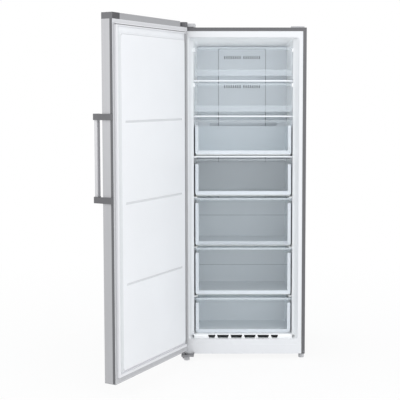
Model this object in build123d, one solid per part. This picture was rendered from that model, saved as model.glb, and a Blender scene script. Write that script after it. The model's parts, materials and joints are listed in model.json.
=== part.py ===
from build123d import *
import os

# Upright freezer with one tall door, two flap compartments and five drawers.
# Millimetres. X runs across the front, Y from the front towards the back and Z up.
# Every piece is drawn with X = 0 on the cabinet's centre line, Y = 0 on the front of
# its steel flange and Z = 0 on the floor. The door is drawn closed and then opened.

# ---------------------------------------------------------------- driving sizes
CABINET_WIDTH = 685.0
CABINET_DEPTH = 590.0
DOOR_TOP = 1854.0              # overall height
DOOR_RISE = 26.0               # door over the cabinet's roof
CABINET_TOP = DOOR_TOP - DOOR_RISE
CABINET_BOTTOM = 30.0
SHEET = 1.0                    # folded steel sheet of cabinet and door
FLANGE_WIDTH = 19.3            # front return of the cabinet sheet
FOLD_RADIUS = 2.2

MOUTH_INSET = 41.5             # opening, just behind its lip, in from the cabinet's side
MOUTH_HALF = CABINET_WIDTH / 2 - MOUTH_INSET
MOUTH_FLOOR = 113.0
ROOF_WALL = 54.0
MOUTH_CEILING = CABINET_TOP - ROOF_WALL
MOUTH_CORNER = 14.0
LIP_FLARE = 2.5
THROAT_Y = 55.0                # where the splayed front walls turn into the steep ones
THROAT_SPLAY = 27.5
THROAT_HALF = MOUTH_HALF - THROAT_SPLAY
THROAT_DROP = 3.0
THROAT_CEILING = MOUTH_CEILING - THROAT_DROP
BACK_WALL = 70.0
CAVITY_BACK = CABINET_DEPTH - BACK_WALL
BACK_TAPER = 9.5
BACK_HALF = THROAT_HALF - BACK_TAPER
BACK_DROP = 24.0
BACK_CEILING = THROAT_CEILING - BACK_DROP
LINER_SHEET = 1.2
LINER_FLANGE_BOTTOM = 82.0
LINER_FLANGE_LAP = 14.0        # how far the liner's flange reaches behind the steel one
KICK_ROUND = 1.0

MACHINE_DEPTH = 245.0
STEP_Y = CABINET_DEPTH - MACHINE_DEPTH     # front of the step over the machine compartment
STEP_TOP = 290.0
STEP_WALL = 45.0
BASE_SHEET = 1.5

SEAT = 0.3                     # gap between a piece and what carries it
FOAM_SEAM = 0.1                # between the slabs of foam
PANEL_GAP = 0.4                # gap round a fitted panel
RUNNING_GAP = 0.05             # radial clearance of pins and shafts
LAP = 1.0                      # overlap of shapes that are joined into one piece
NEAR = 0.1                     # margin when edges are picked by their place

# rear wall panel with its raised duct
COIL_SPACE = 70.0              # from the panel's front to the tub's back
COVER_Y = CAVITY_BACK - COIL_SPACE
COVER_SHEET = 3.0
COVER_CORNER = 15.0
DUCT_DEPTH = 9.0

# shelves, from the top one down: each glass's upper face under the opening's ceiling, the
# lowest one over the floor, and one near the middle of the two, for two tall drawers
GLASS = 4.0
SHELF_DROPS = (228.5, 423.0, 647.0, 871.0)
LOW_SHELF = 344.5
MIDDLE_DROP = 1.25             # middle shelf under the middle of its two neighbours
TRIMMED_SHELVES = tuple(MOUTH_CEILING - drop for drop in SHELF_DROPS[:3])
TALL_ROOF = MOUTH_CEILING - SHELF_DROPS[3]
PLAIN_SHELVES = (TALL_ROOF, (TALL_ROOF + LOW_SHELF) / 2 - MIDDLE_DROP, LOW_SHELF)
GLASS_FRONT = 63.0
GLASS_REAR_GAP = 1.5           # between the glass and the duct
GLASS_BACK = COVER_Y - DUCT_DEPTH - GLASS_REAR_GAP
GLASS_INSET = 8.6
GLASS_HALF = THROAT_HALF - GLASS_INSET
RAIL_HEIGHT = 6.0
RAIL_LAP = 9.9                 # how far a ledge reaches under the glass
RAIL_INNER_HALF = GLASS_HALF - RAIL_LAP
RAIL_FRONT = 74.0
TRIM_INSET = 2.5
TRIM_HALF = THROAT_HALF - TRIM_INSET
TRIM_FRONT = 58.5
TRIM_BACK = 72.0
TRIM_HEIGHT = 8.0
TRIM_ROUND = 1.5

# drawers, from the top one down: clear front over its shelf and under the next shelf
GRILLE_TOP = 131.5
DRAWER_GAPS = ((11.0, 24.0), (9.0, 14.0), (8.5, 7.0), (8.5, 5.5), (1.5, 10.5))
DRAWER_CARRIERS = (TRIMMED_SHELVES[2],) + PLAIN_SHELVES + (GRILLE_TOP,)
DRAWER_ROOFS = TRIMMED_SHELVES[1:] + PLAIN_SHELVES
DRAWER_FRONTS = tuple((low + lift, high - gap) for low, high, (lift, gap)
                      in zip(DRAWER_CARRIERS, DRAWER_ROOFS, DRAWER_GAPS))
FRONT_INSET = 8.0              # gap that shows at each side of a front
FRONT_HALF = THROAT_HALF - FRONT_INSET
FRONT_Y = 55.0
FRONT_THICK = 3.3
FRONT_CORNER = 9.0
LIP_REACH = 9.0                # how far the finger lip stands out of the front
LIP_DROP = 9.0
LIP_THICK = 3.0
FRONT_HEAD = 31.0              # plain band above the bin's frame
BIN_REAR_DROP = 16.0           # the bin's side walls slope down this much to its back
BIN_WALL = 2.5
BIN_INSET = 11.5
BIN_HALF = THROAT_HALF - BIN_INSET
BIN_REAR_GAP = 11.0
BIN_BACK = COVER_Y - DUCT_DEPTH - BIN_REAR_GAP
LOW_BIN_REAR_GAP = 9.0
LOW_BIN_BACK = STEP_Y - LOW_BIN_REAR_GAP
BIN_CORNER = 14.0
BIN_NOSE = 22.0                # length of the sloping nose under the bin's front
BIN_NOSE_LIFT = 1.0            # nose over the clear front's lower edge
FRAME_SIDE = 18.0
FRAME_FOOT = 20.0
SLOT_HALF = 190.0              # finger slot of the first drawer
SLOT_DROP = 17.2               # finger slot under the front's upper edge
SLOT_TOP = DRAWER_FRONTS[0][1] - SLOT_DROP
SLOT_HEIGHT = 16.0
SLOT_SLANT = 10.0

GRILLE_FRONT = 25.0
GRILLE_SHEET = 2.0
GRILLE_RISER = 3.0
GRILLE_REAR_GAP = 11.0
GRILLE_BACK = STEP_Y - GRILLE_REAR_GAP
GRILLE_POSTS = 5
GRILLE_PITCH = 75.0
GRILLE_OPEN_HALF = 196.0
POST_TOP = 6.0
POST_FOOT = 20.0

# flaps, from the top one down: upper edge under the ceiling or shelf, pivot under the upper
# edge, and lower edge over the shelf; then each one's pivot, lower and upper height
FLAP_FITS = ((49.0, 14.0, 24.0), (17.5, 7.0, 21.0))
FLAPS = tuple((high - gap - drop, low + lift, high - gap) for high, low, (gap, drop, lift)
              in zip((MOUTH_CEILING, TRIMMED_SHELVES[0]), TRIMMED_SHELVES, FLAP_FITS))
FLAP_INSET = 7.5
FLAP_HALF = THROAT_HALF - FLAP_INSET
FLAP_Y = 65.0
FLAP_THICK = 3.0
FLAP_GRIP = 18.0
FLAP_GRIP_REACH = 7.0
PIVOT_PIN_RADIUS = 3.0
PIVOT_PIN_LENGTH = 6.0
BOSS_HALF = 8.0
BOSS_DROP = 12.0                # boss below the pin's axis
BOSS_GAP = 1.0
PIN_ROOT = 6.0

DUCT_HALF = 137.0
DUCT_BOTTOM = 640.0
DUCT_HEADROOM = 14.0
DUCT_TOP = BACK_CEILING - DUCT_HEADROOM
DUCT_WALL = 2.0
DUCT_CORNER = 12.0
INTAKE_START = 8.0
INTAKE_HEIGHT = 18.0
SLOT_DROPS = (89.4, 260.5, 512.0, 729.0)
LOW_SLOT_RISE = 185.0
SLOT_ROWS = tuple(MOUTH_CEILING - drop for drop in SLOT_DROPS) + (DUCT_BOTTOM + LOW_SLOT_RISE,)
SLOTS_PER_GROUP = 8
AIR_SLOT_WIDTH = 7.0
AIR_SLOT_HEIGHT = 18.0
AIR_SLOT_PITCH = 13.0
AIR_SLOT_START = 11.5

COIL_INSET = 39.0
COIL_HALF = BACK_HALF - COIL_INSET
COIL_BOTTOM = 330.0
COIL_HEIGHT = 200.0
COIL_GAP = 13.0                # between the rear wall panel and the coil
COIL_FRONT = COVER_Y + COVER_SHEET + COIL_GAP
COIL_FINS = 25
FIN_SHEET = 1.0
COIL_TUBE_RADIUS = 4.0
COIL_TUBE_ROWS = 4
COIL_TUBE_SHARES = (0.3, 0.7)  # depth of the two tube columns within the coil

FAN_Z = 700.0
FAN_RADIUS = 44.0
FAN_HUB_RADIUS = 15.0
FAN_GAP = 4.0
FAN_FRONT = COVER_Y + COVER_SHEET + FAN_GAP
FAN_WIDTH = 20.0
FAN_TIP_GAP = 2.0
FAN_BLADES = 5
BLADE_ROOT = 4.0
BLADE_TILT = 35.0
BLADE_SHEET = 1.6
BLADE_CHORD = 24.0
HUB_FACE = 3.0
FAN_SHAFT_RADIUS = 2.5
SHAFT_END_GAP = 1.0
MOTOR_RADIUS = 20.0
MOTOR_GAP = 3.0
MOTOR_FRONT = FAN_FRONT + FAN_WIDTH + MOTOR_GAP
MOTOR_STANDOFF = 12.0
MOTOR_ARM_SHEET = 2.0
MOTOR_ARM_HALF = 8.0
MOTOR_FOOT = 10.0

# door, closed
DOOR_GAP = 12.0                # between the cabinet's front and the door's inner face
DOOR_THICK = 64.0
DOOR_BOTTOM = 61.0
DOOR_INSET = 12.0              # pivot axis in from the door's hinge edge
DOOR_PIVOT_SET = 24.5          # pivot axis in front of the door's inner face
DOOR_OPEN = 118.6
SKIN_ROUND = 0.9
DOOR_CAP_BAND = 31.0
CAP_ROUND = 2.5
DOOR_CAP_ROOT = 23.0           # how far the caps reach into the door's body
DOOR_FOOT_BAND = 3.0
HINGE_RECESS = 72.0
PLUG_LENGTH = 61.0
PLUG_ROUND = 2.0
GASKET_INSET = 17.0
GASKET_WIDTH = 14.0
GASKET_FOOT_INSET = 30.0
GASKET_HEAD_INSET = 49.0
GASKET_CORNER = 6.0
GASKET_INNER_CORNER = 2.0
GASKET_LIP = 3.0
GASKET_SQUEEZE = 0.5           # gap that the closed gasket leaves to the cabinet
PAD_INSET = 38.5
PAD_HALF = CABINET_WIDTH / 2 - PAD_INSET
PAD_FOOT = 45.5
PAD_BOTTOM = DOOR_BOTTOM + PAD_FOOT
PAD_HEAD = 88.0
PAD_TOP = DOOR_TOP - PAD_HEAD
PAD_HEIGHT = 14.0
PAD_SLOPE = 14.0
PAD_CORNER = 16.0
PAD_GROOVES = (540.0, 938.0, 1335.0)
GROOVE_WIDTH = 12.0
GROOVE_DEPTH = 3.0
GROOVE_MARGIN = 30.0

HANDLE_BOTTOM = 943.0
HANDLE_TOP = 1374.5
HANDLE_BRACKET = 30.5
HANDLE_PLATE = 7.5
HANDLE_PLATE_INSET = 2.0       # plate's rear edge in from the door's inner face
HANDLE_REACH = 50.5
BAR_WIDTH = 25.0
BAR_DEPTH = 19.0
BAR_INSET = 2.5                # bar in from the door's handle edge
BAR_ROUND = 4.0

HINGE_PIN_RADIUS = 5.0
BUSH_WALL = 3.5
BUSH_LENGTH = 20.0
ARM_SHEET = 4.0
NOSE_WIDTH = 39.0
NOSE_REACH = 16.0
NOSE_HEIGHT = 25.0
NOSE_ROUND = 11.0
NOSE_BACK = 4.0
ARM_INSET = 0.5                # arm in from the cabinet's left side
ARM_WIDTH = 71.0
ARM_BACK = 85.0
HINGE_COVER_WIDTH = 79.0
HINGE_COVER_DEPTH = 88.0
HINGE_COVER_HEIGHT = 22.0
HINGE_COVER_WALL = 2.5
HINGE_COVER_INSET = 1.5
HINGE_COVER_CORNER = 4.0
COVER_EDGE = 2.0
ARM_CLEARANCE = 1.5            # arm over the floor of the door's recess
HOLE_COVER_INSET = 11.5
HOLE_COVER_WIDTH = 72.0
HOLE_COVER_LEFT = CABINET_WIDTH / 2 - HOLE_COVER_INSET - HOLE_COVER_WIDTH
HOLE_COVER_FRONT = 8.0
HOLE_COVER_DEPTH = 52.0
HOLE_COVER_HEIGHT = 8.0
HOLE_COVER_CORNER = 5.0
LOW_ARM_SHEET = 3.0
LOW_ARM_WIDTH = 69.0
LOW_ARM_RIM = 8.0
LOW_ARM_RIM_SHEET = 2.5
LOW_ARM_FRONT = -53.0
LOW_ARM_BACK = 60.0
LOW_ARM_CORNER = 8.0
SPACER_RADIUS = 9.0
PIN_TAIL = 12.0

FOOT_RADIUS = 16.0
FOOT_PAD = 20.0
FOOT_NECK_RADIUS = 9.0
FOOT_NECK = 4.5
FOOT_ROUND = 2.0
FOOT_STEM_RADIUS = 5.0
FOOT_STEM_TOP = 37.0
STEM_WELL_GAP = 1.0
LEFT_FOOT_INSET = 29.5
RIGHT_FOOT_INSET = 16.5
FOOT_PLACES = ((LEFT_FOOT_INSET - CABINET_WIDTH / 2, -15.0),
               (CABINET_WIDTH / 2 - RIGHT_FOOT_INSET, 42.0))
NUT_RADIUS = 9.0
NUT_HEIGHT = 5.0

ROLLER_RADIUS = 12.5
ROLLER_WIDTH = 14.0
ROLLER_PIN_RADIUS = 3.0
ROLLER_INSET = 42.5
ROLLER_X = CABINET_WIDTH / 2 - ROLLER_INSET
ROLLER_REAR = 35.0             # axle in front of the cabinet's back
ROLLER_Y = CABINET_DEPTH - ROLLER_REAR
ROLLER_SIDE_GAP = 0.5
ROLLER_ROUND = 1.2
CHEEK = 2.0
CHEEK_BOTTOM = 5.0
CHEEK_HALF = 9.0
FORK_HALF = 16.0

COMPRESSOR_INSET = 177.5
COMPRESSOR_X = CABINET_WIDTH / 2 - COMPRESSOR_INSET
COMPRESSOR_REAR = 98.0         # its axis in front of the cabinet's back
COMPRESSOR_Y = CABINET_DEPTH - COMPRESSOR_REAR
COMPRESSOR_RADIUS = 74.0
COMPRESSOR_HEIGHT = 158.0
COMPRESSOR_CROWN = 34.0
SEAM_WIDTH = 2.5
GROMMET_HEIGHT = 12.0
GROMMET_RADIUS = 10.0
GROMMET_SPREAD = (76.0, 56.0)
PLATE_SHEET = 3.0
PLATE_EDGE = 2.0
TRAY_HALF = 90.0
TRAY_DEPTH_HALF = 70.0
TRAY_HEIGHT = 22.0
TRAY_WALL = 2.0
TRAY_CORNER = 12.0
TERMINAL_WIDTH = 34.0
TERMINAL_DEPTH = 60.0
TERMINAL_HEIGHT = 62.0
TERMINAL_SINK = 8.0            # how far the box reaches into the can's round side
TERMINAL_LOW = 46.0
TERMINAL_ROUND = 4.0
PIPE_RADIUS = 3.2
PIPE_BEND = 14.0
PIPE_INSET = 57.5
PIPE_LEFT = PIPE_INSET - CABINET_WIDTH / 2
PIPE_RUNS = 3                  # an odd number, so that the last run ends at the compressor
PIPE_PITCH = 32.0
PIPE_Z = 62.0
INLET_WIDTH = 40.0
INLET_DEPTH = 32.0
INLET_HEIGHT = 48.0
INLET_Z = 120.0
INLET_RECESS = 18.0
INLET_RIM = 6.0
INLET_CORNER = 3.0
INLET_PINS = (-10.0, 0.0, 10.0)
INLET_PIN_WIDTH = 2.0
INLET_PIN_HEIGHT = 4.0
INLET_PIN_INSET = 4.0

# ---------------------------------------------------------------- worked-out sizes
half_width = CABINET_WIDTH / 2
inner_half = half_width - SHEET
flange_back = SHEET + LINER_SHEET
back_inside = CABINET_DEPTH - SHEET
base_top = CABINET_BOTTOM + BASE_SHEET
roof_inside = CABINET_TOP - SHEET
machine_roof = STEP_TOP - LINER_SHEET - STEP_WALL
machine_front = STEP_Y + LINER_SHEET + STEP_WALL
machine_ceiling = machine_roof - BASE_SHEET

door_inner = -DOOR_GAP
door_outer = door_inner - DOOR_THICK
pivot_x = -half_width + DOOR_INSET
pivot_y = door_inner - DOOR_PIVOT_SET
cap_floor = DOOR_TOP - DOOR_CAP_BAND
recess_floor = CABINET_TOP - ARM_CLEARANCE
door_liner_face = door_inner - LINER_SHEET
door_front_inside = door_outer + SHEET

duct_front = COVER_Y - DUCT_DEPTH
cover_back = COVER_Y + COVER_SHEET

# opening sections: place along Y, half width, floor and ceiling
SECTIONS = (
    (SHEET, MOUTH_HALF + LIP_FLARE, MOUTH_FLOOR - LIP_FLARE, MOUTH_CEILING + LIP_FLARE),
    (SHEET + LIP_FLARE, MOUTH_HALF, MOUTH_FLOOR, MOUTH_CEILING),
    (THROAT_Y, THROAT_HALF, MOUTH_FLOOR, THROAT_CEILING),
    (CAVITY_BACK, BACK_HALF, MOUTH_FLOOR, BACK_CEILING),
)


# ---------------------------------------------------------------- helpers
def block(x0, x1, y0, y1, z0, z1):
    """A box between two corners."""
    middle = Pos((x0 + x1) / 2, (y0 + y1) / 2, (z0 + z1) / 2)
    return middle * Box(x1 - x0, y1 - y0, z1 - z0)


def rod_x(radius, x0, x1, y, z):
    """A round bar along X."""
    return Pos((x0 + x1) / 2, y, z) * Rot(0, 90, 0) * Cylinder(radius, x1 - x0)


def rod_y(radius, y0, y1, x, z):
    """A round bar along Y."""
    return Pos(x, (y0 + y1) / 2, z) * Rot(90, 0, 0) * Cylinder(radius, y1 - y0)


def rod_z(radius, z0, z1, x, y):
    """An upright round bar."""
    return Pos(x, y, (z0 + z1) / 2) * Cylinder(radius, z1 - z0)


def prism_x(points, x0, x1):
    """A (Y, Z) outline carried from x0 to x1."""
    face = Plane.YZ.offset(x0) * make_face(Polyline(*points, close=True))
    return extrude(face, x1 - x0, dir=(1, 0, 0))


def prism_z(points, z0, z1):
    """An (X, Y) outline carried from z0 to z1."""
    face = Plane.XY.offset(z0) * make_face(Polyline(*points, close=True))
    return extrude(face, z1 - z0, dir=(0, 0, 1))


def prism_y(points, y0, y1):
    """An (X, Z) outline carried from y0 to y1."""
    face = Plane.XZ.offset(-y0) * make_face(Polyline(*points, close=True))
    return extrude(face, y1 - y0, dir=(0, 1, 0))


def between(y, first, second, column):
    """A section value at depth y, on the straight line between two sections."""
    part = (y - first[0]) / (second[0] - first[0])
    return first[column] + part * (second[column] - first[column])


def wall_half(y):
    """Half width between the liner's long side walls at depth y."""
    return between(y, SECTIONS[2], SECTIONS[3], 1)


def ceiling(y):
    """Height of the liner's ceiling at depth y."""
    return between(y, SECTIONS[2], SECTIONS[3], 3)


def opened(shape):
    """The door is drawn closed; this swings a piece of it to the open rest place."""
    hinge = Pos(pivot_x, pivot_y, 0)
    return hinge * Rot(0, 0, -DOOR_OPEN) * Pos(-pivot_x, -pivot_y, 0) * shape


# ---------------------------------------------------------------- cabinet shell
def side_panel(side):
    """One side of the cabinet: a sheet with a narrow return along its front."""
    near, far = sorted((side * inner_half, side * half_width))
    sheet = block(near, far, 0, CABINET_DEPTH, CABINET_BOTTOM, CABINET_TOP)
    near, far = sorted((side * (half_width - FLANGE_WIDTH), side * half_width))
    panel = sheet + block(near, far, 0, SHEET, CABINET_BOTTOM, CABINET_TOP)
    upright = panel.edges().filter_by(Axis.Z).filter_by_position(Axis.Y, -NEAR, NEAR)
    fold = upright.sort_by(Axis.X)[-1:] if side > 0 else upright.sort_by(Axis.X)[:1]
    return fillet(fold, FOLD_RADIUS)


def top_panel():
    """Roof sheet between the sides, with the same return along its front."""
    sheet = block(-inner_half, inner_half, 0, CABINET_DEPTH, roof_inside, CABINET_TOP)
    flange_half = half_width - FLANGE_WIDTH
    flange = block(-flange_half, flange_half, 0, SHEET, CABINET_TOP - FLANGE_WIDTH, CABINET_TOP)
    ends = block(-inner_half, inner_half, 0, SHEET, roof_inside, CABINET_TOP)
    return sheet - ends + flange


def opening_body(grow):
    """The space inside the liner, or with grow the outside of the liner's shell."""
    faces = []
    for y, half, floor, top in SECTIONS:
        depth = y + (grow if y == CAVITY_BACK else 0)
        middle = Plane(origin=(0, depth, (floor + top) / 2), x_dir=(1, 0, 0), z_dir=(0, -1, 0))
        outline = RectangleRounded(2 * (half + grow), top - floor + 2 * grow, MOUTH_CORNER + grow)
        faces.append(middle * outline)
    body = loft(faces, ruled=True)
    step = block(-half_width, half_width, STEP_Y + grow, CABINET_DEPTH, 0, STEP_TOP - grow)
    return body - step


def wall_middle(y):
    """Half width to the middle of the liner's side wall at depth y."""
    return wall_half(y) + LINER_SHEET / 2


def shelf_rails():
    """Moulded ledges on both side walls, one pair under each glass shelf."""
    rails = []
    for top in TRIMMED_SHELVES + PLAIN_SHELVES:
        under = top - GLASS
        for side in (-1, 1):
            ledge = [(side * RAIL_INNER_HALF, RAIL_FRONT), (side * wall_middle(RAIL_FRONT), RAIL_FRONT),
                     (side * wall_middle(GLASS_BACK), GLASS_BACK), (side * RAIL_INNER_HALF, GLASS_BACK)]
            rails.append(prism_z(ledge, under - RAIL_HEIGHT, under))
    return rails


def flap_bosses():
    """Square bosses on the side walls that take the flaps' pivot pins."""
    bosses = []
    for pivot, low, high in FLAPS:
        for side in (-1, 1):
            near, far = sorted((side * (FLAP_HALF + BOSS_GAP), side * wall_middle(FLAP_Y)))
            bosses.append(block(near, far, FLAP_Y - BOSS_HALF, FLAP_Y + BOSS_HALF,
                                pivot - BOSS_DROP, pivot + BOSS_HALF))
    return bosses


def inner_liner():
    """Vacuum-formed inner tub with its front flange, ledges and pivot bosses."""
    shell = opening_body(LINER_SHEET)
    flange_half = half_width - FLANGE_WIDTH + LINER_FLANGE_LAP
    flange_top = CABINET_TOP - FLANGE_WIDTH + LINER_FLANGE_LAP
    flange = block(-flange_half, flange_half, SHEET, flange_back, LINER_FLANGE_BOTTOM, flange_top)
    liner = flange + shell - opening_body(0)
    for piece in shelf_rails() + flap_bosses():
        liner = liner + piece
    hole_half = FLAP_HALF + PIVOT_PIN_LENGTH + SEAT
    for pivot, low, high in FLAPS:
        hole = rod_x(PIVOT_PIN_RADIUS + RUNNING_GAP, -hole_half, hole_half, FLAP_Y, pivot)
        liner = liner - hole
    return liner


def foam_insulation():
    """Foam between liner and sheet, as slabs that meet face to face."""
    grown = [(y, half + LINER_SHEET, floor - LINER_SHEET, top + LINER_SHEET)
             for y, half, floor, top in SECTIONS]
    rear = CAVITY_BACK + LINER_SHEET
    back_half = grown[3][1]
    floor_top = MOUTH_FLOOR - LINER_SHEET
    shelf = STEP_TOP - LINER_SHEET
    front_step = STEP_Y + LINER_SHEET
    roof_line = [(flange_back, roof_inside), (flange_back, grown[0][3]), (grown[1][0], grown[1][3]),
                 (THROAT_Y, grown[2][3]), (rear, grown[3][3]), (back_inside, grown[3][3]),
                 (back_inside, roof_inside)]
    roof = prism_x(roof_line, -inner_half, inner_half)
    roof_cut = roof + Pos(0, 0, -FOAM_SEAM) * roof
    pieces = [roof]
    for side in (-1, 1):
        high_line = [(side * inner_half, flange_back), (side * grown[0][1], flange_back),
                     (side * grown[1][1], grown[1][0]), (side * grown[2][1], THROAT_Y),
                     (side * back_half, rear), (side * back_half, back_inside),
                     (side * inner_half, back_inside)]
        pieces.append(prism_z(high_line, shelf + FOAM_SEAM, roof_inside) - roof_cut)
        step_half = between(front_step, (THROAT_Y, grown[2][1]), (rear, back_half), 1)
        low_line = high_line[:4] + [(side * step_half, front_step), (side * inner_half, front_step)]
        pieces.append(prism_z(low_line, floor_top + FOAM_SEAM, shelf))
    rear_half = back_half - FOAM_SEAM
    back = block(-rear_half, rear_half, rear, back_inside, shelf + FOAM_SEAM, roof_inside)
    back = back - roof_cut
    floor_line = [(flange_back, base_top), (flange_back, grown[0][2]), (grown[1][0], floor_top),
                  (front_step, floor_top), (front_step, base_top)]
    floor = prism_x(floor_line, -inner_half, inner_half)
    foot_x, foot_y = FOOT_PLACES[1]
    floor = floor - rod_z(FOOT_STEM_RADIUS + STEM_WELL_GAP, base_top, FOOT_STEM_TOP + STEM_WELL_GAP,
                          foot_x, foot_y)
    step_front = front_step + FOAM_SEAM
    riser = block(-inner_half, inner_half, step_front, machine_front, base_top,
                  machine_roof - FOAM_SEAM)
    step_roof = block(-inner_half, inner_half, step_front, back_inside, machine_roof, shelf)
    pieces += [back, floor, riser, step_roof]
    return Compound(children=pieces)


def back_panel():
    """Flat sheet behind the foam, down to the machine compartment."""
    return block(-inner_half, inner_half, back_inside, CABINET_DEPTH, machine_roof, roof_inside)


def kick_panel():
    """White strip across the foot of the cabinet, flush with the steel flange."""
    panel_half = half_width - FLANGE_WIDTH
    panel = block(-panel_half, panel_half, 0, flange_back, CABINET_BOTTOM, LINER_FLANGE_BOTTOM)
    lip = panel.edges().filter_by(Axis.X).filter_by_position(Axis.Y, -NEAR, NEAR)
    return fillet(lip, KICK_ROUND)


def base_pan():
    """Steel floor, bent up into the machine compartment's front wall and ceiling."""
    pan = block(-inner_half, inner_half, flange_back, back_inside, CABINET_BOTTOM, base_top)
    pan = pan + block(-inner_half, inner_half, machine_front, machine_front + BASE_SHEET,
                      CABINET_BOTTOM, machine_roof)
    pan = pan + block(-inner_half, inner_half, machine_front, back_inside,
                      machine_ceiling, machine_roof)
    foot_x, foot_y = FOOT_PLACES[1]
    pan = pan + rod_z(NUT_RADIUS, CABINET_BOTTOM - NUT_HEIGHT, CABINET_BOTTOM, foot_x, foot_y)
    bore = FOOT_STEM_RADIUS + RUNNING_GAP
    pan = pan - rod_z(bore, CABINET_BOTTOM - NUT_HEIGHT, base_top, foot_x, foot_y)
    return pan + roller_fork(-ROLLER_X) + roller_fork(ROLLER_X)


# ---------------------------------------------------------------- inside fittings
def evaporator_cover():
    """Rear wall panel in front of the evaporator, with the fan's round mouth."""
    half = wall_half(cover_back) - PANEL_GAP
    top = ceiling(cover_back) - PANEL_GAP
    panel = block(-half, half, COVER_Y, cover_back, STEP_TOP, top)
    upper = panel.edges().filter_by(Axis.Y).filter_by_position(Axis.Z, top - NEAR, top + NEAR)
    panel = fillet(upper, COVER_CORNER)
    intake_low = STEP_TOP + INTAKE_START
    intake = block(-COIL_HALF, COIL_HALF, COVER_Y, cover_back, intake_low,
                   intake_low + INTAKE_HEIGHT)
    return panel - rod_y(FAN_RADIUS + FAN_TIP_GAP, COVER_Y, cover_back, 0, FAN_Z) - intake


def air_duct_cover():
    """Raised duct on the rear panel, with rows of upright air slots."""
    outline = RectangleRounded(2 * DUCT_HALF, DUCT_TOP - DUCT_BOTTOM, DUCT_CORNER)
    middle = (DUCT_TOP + DUCT_BOTTOM) / 2
    face = Plane(origin=(0, duct_front, middle), x_dir=(1, 0, 0), z_dir=(0, -1, 0)) * outline
    duct = extrude(face, DUCT_DEPTH, dir=(0, 1, 0))
    inside = block(-DUCT_HALF + DUCT_WALL, DUCT_HALF - DUCT_WALL, duct_front + DUCT_WALL, COVER_Y,
                   DUCT_BOTTOM + DUCT_WALL, DUCT_TOP - DUCT_WALL)
    corners = inside.edges().filter_by(Axis.Y)
    duct = duct - fillet(corners, DUCT_CORNER - DUCT_WALL)
    for row in SLOT_ROWS:
        for number in range(SLOTS_PER_GROUP):
            centre = AIR_SLOT_START + number * AIR_SLOT_PITCH
            for side in (-1, 1):
                left = side * centre - AIR_SLOT_WIDTH / 2
                low = row - AIR_SLOT_HEIGHT / 2
                duct = duct - block(left, left + AIR_SLOT_WIDTH, duct_front,
                                    duct_front + DUCT_WALL, low, low + AIR_SLOT_HEIGHT)
    return duct


def evaporator():
    """Finned coil: upright fins on rows of tubes."""
    coil_back = CAVITY_BACK - SEAT
    top = COIL_BOTTOM + COIL_HEIGHT
    coil = None
    spacing = (2 * COIL_HALF - FIN_SHEET) / (COIL_FINS - 1)
    for number in range(COIL_TUBE_ROWS):
        height = COIL_BOTTOM + (number + 0.5) * COIL_HEIGHT / COIL_TUBE_ROWS
        for share in COIL_TUBE_SHARES:
            depth = COIL_FRONT + share * (coil_back - COIL_FRONT)
            tube = rod_x(COIL_TUBE_RADIUS, -COIL_HALF, COIL_HALF, depth, height)
            coil = tube if coil is None else coil + tube
    for number in range(COIL_FINS):
        left = -COIL_HALF + number * spacing
        coil = coil + block(left, left + FIN_SHEET, COIL_FRONT, coil_back, COIL_BOTTOM, top)
    return coil


def fan_motor():
    """Motor behind the rotor, on two arms from the liner's back wall."""
    back = CAVITY_BACK - SEAT
    body_back = back - MOTOR_STANDOFF
    low, high = FAN_Z - MOTOR_ARM_HALF, FAN_Z + MOTOR_ARM_HALF
    motor = rod_y(MOTOR_RADIUS, MOTOR_FRONT, body_back, 0, FAN_Z)
    motor = motor + rod_y(FAN_SHAFT_RADIUS, FAN_FRONT + HUB_FACE + SHAFT_END_GAP, MOTOR_FRONT,
                          0, FAN_Z)
    motor = motor + block(-FAN_RADIUS, FAN_RADIUS, body_back - MOTOR_ARM_SHEET, body_back, low, high)
    for side in (-1, 1):
        near, far = sorted((side * (FAN_RADIUS - MOTOR_FOOT), side * FAN_RADIUS))
        motor = motor + block(near, far, body_back, back, low, high)
    return motor


def fan_rotor():
    """Hub with tilted flat blades."""
    rotor = rod_y(FAN_HUB_RADIUS, FAN_FRONT, FAN_FRONT + FAN_WIDTH, 0, FAN_Z)
    root = FAN_HUB_RADIUS - BLADE_ROOT
    span = FAN_RADIUS - root
    for number in range(FAN_BLADES):
        turn = number * 360 / FAN_BLADES
        blade = Pos(root + span / 2, 0, 0) * Rot(BLADE_TILT, 0, 0)
        blade = blade * Box(span, BLADE_SHEET, BLADE_CHORD)
        place = Pos(0, FAN_FRONT + FAN_WIDTH / 2, FAN_Z) * Rot(0, turn, 0)
        rotor = rotor + place * blade
    bore = FAN_SHAFT_RADIUS + RUNNING_GAP
    rotor = rotor - rod_y(bore, FAN_FRONT + HUB_FACE, FAN_FRONT + FAN_WIDTH, 0, FAN_Z)
    reach = rod_y(FAN_RADIUS, FAN_FRONT, FAN_FRONT + FAN_WIDTH, 0, FAN_Z)
    return rotor & reach


def glass_shelf(top):
    """Plain glass plate that lies on a pair of ledges."""
    front = GLASS_FRONT if top in TRIMMED_SHELVES else RAIL_FRONT
    return block(-GLASS_HALF, GLASS_HALF, front, GLASS_BACK, top - GLASS, top)


def shelf_trim(top):
    """White edge strip: a front wall and a ledge under the glass."""
    low = top - TRIM_HEIGHT
    strip = block(-TRIM_HALF, TRIM_HALF, TRIM_FRONT, TRIM_BACK, low, top)
    nose = strip.edges().filter_by(Axis.X).sort_by(Axis.Y)[:2]
    strip = fillet(nose, TRIM_ROUND)
    return strip - block(-TRIM_HALF, TRIM_HALF, GLASS_FRONT, TRIM_BACK, top - GLASS, top)


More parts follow.
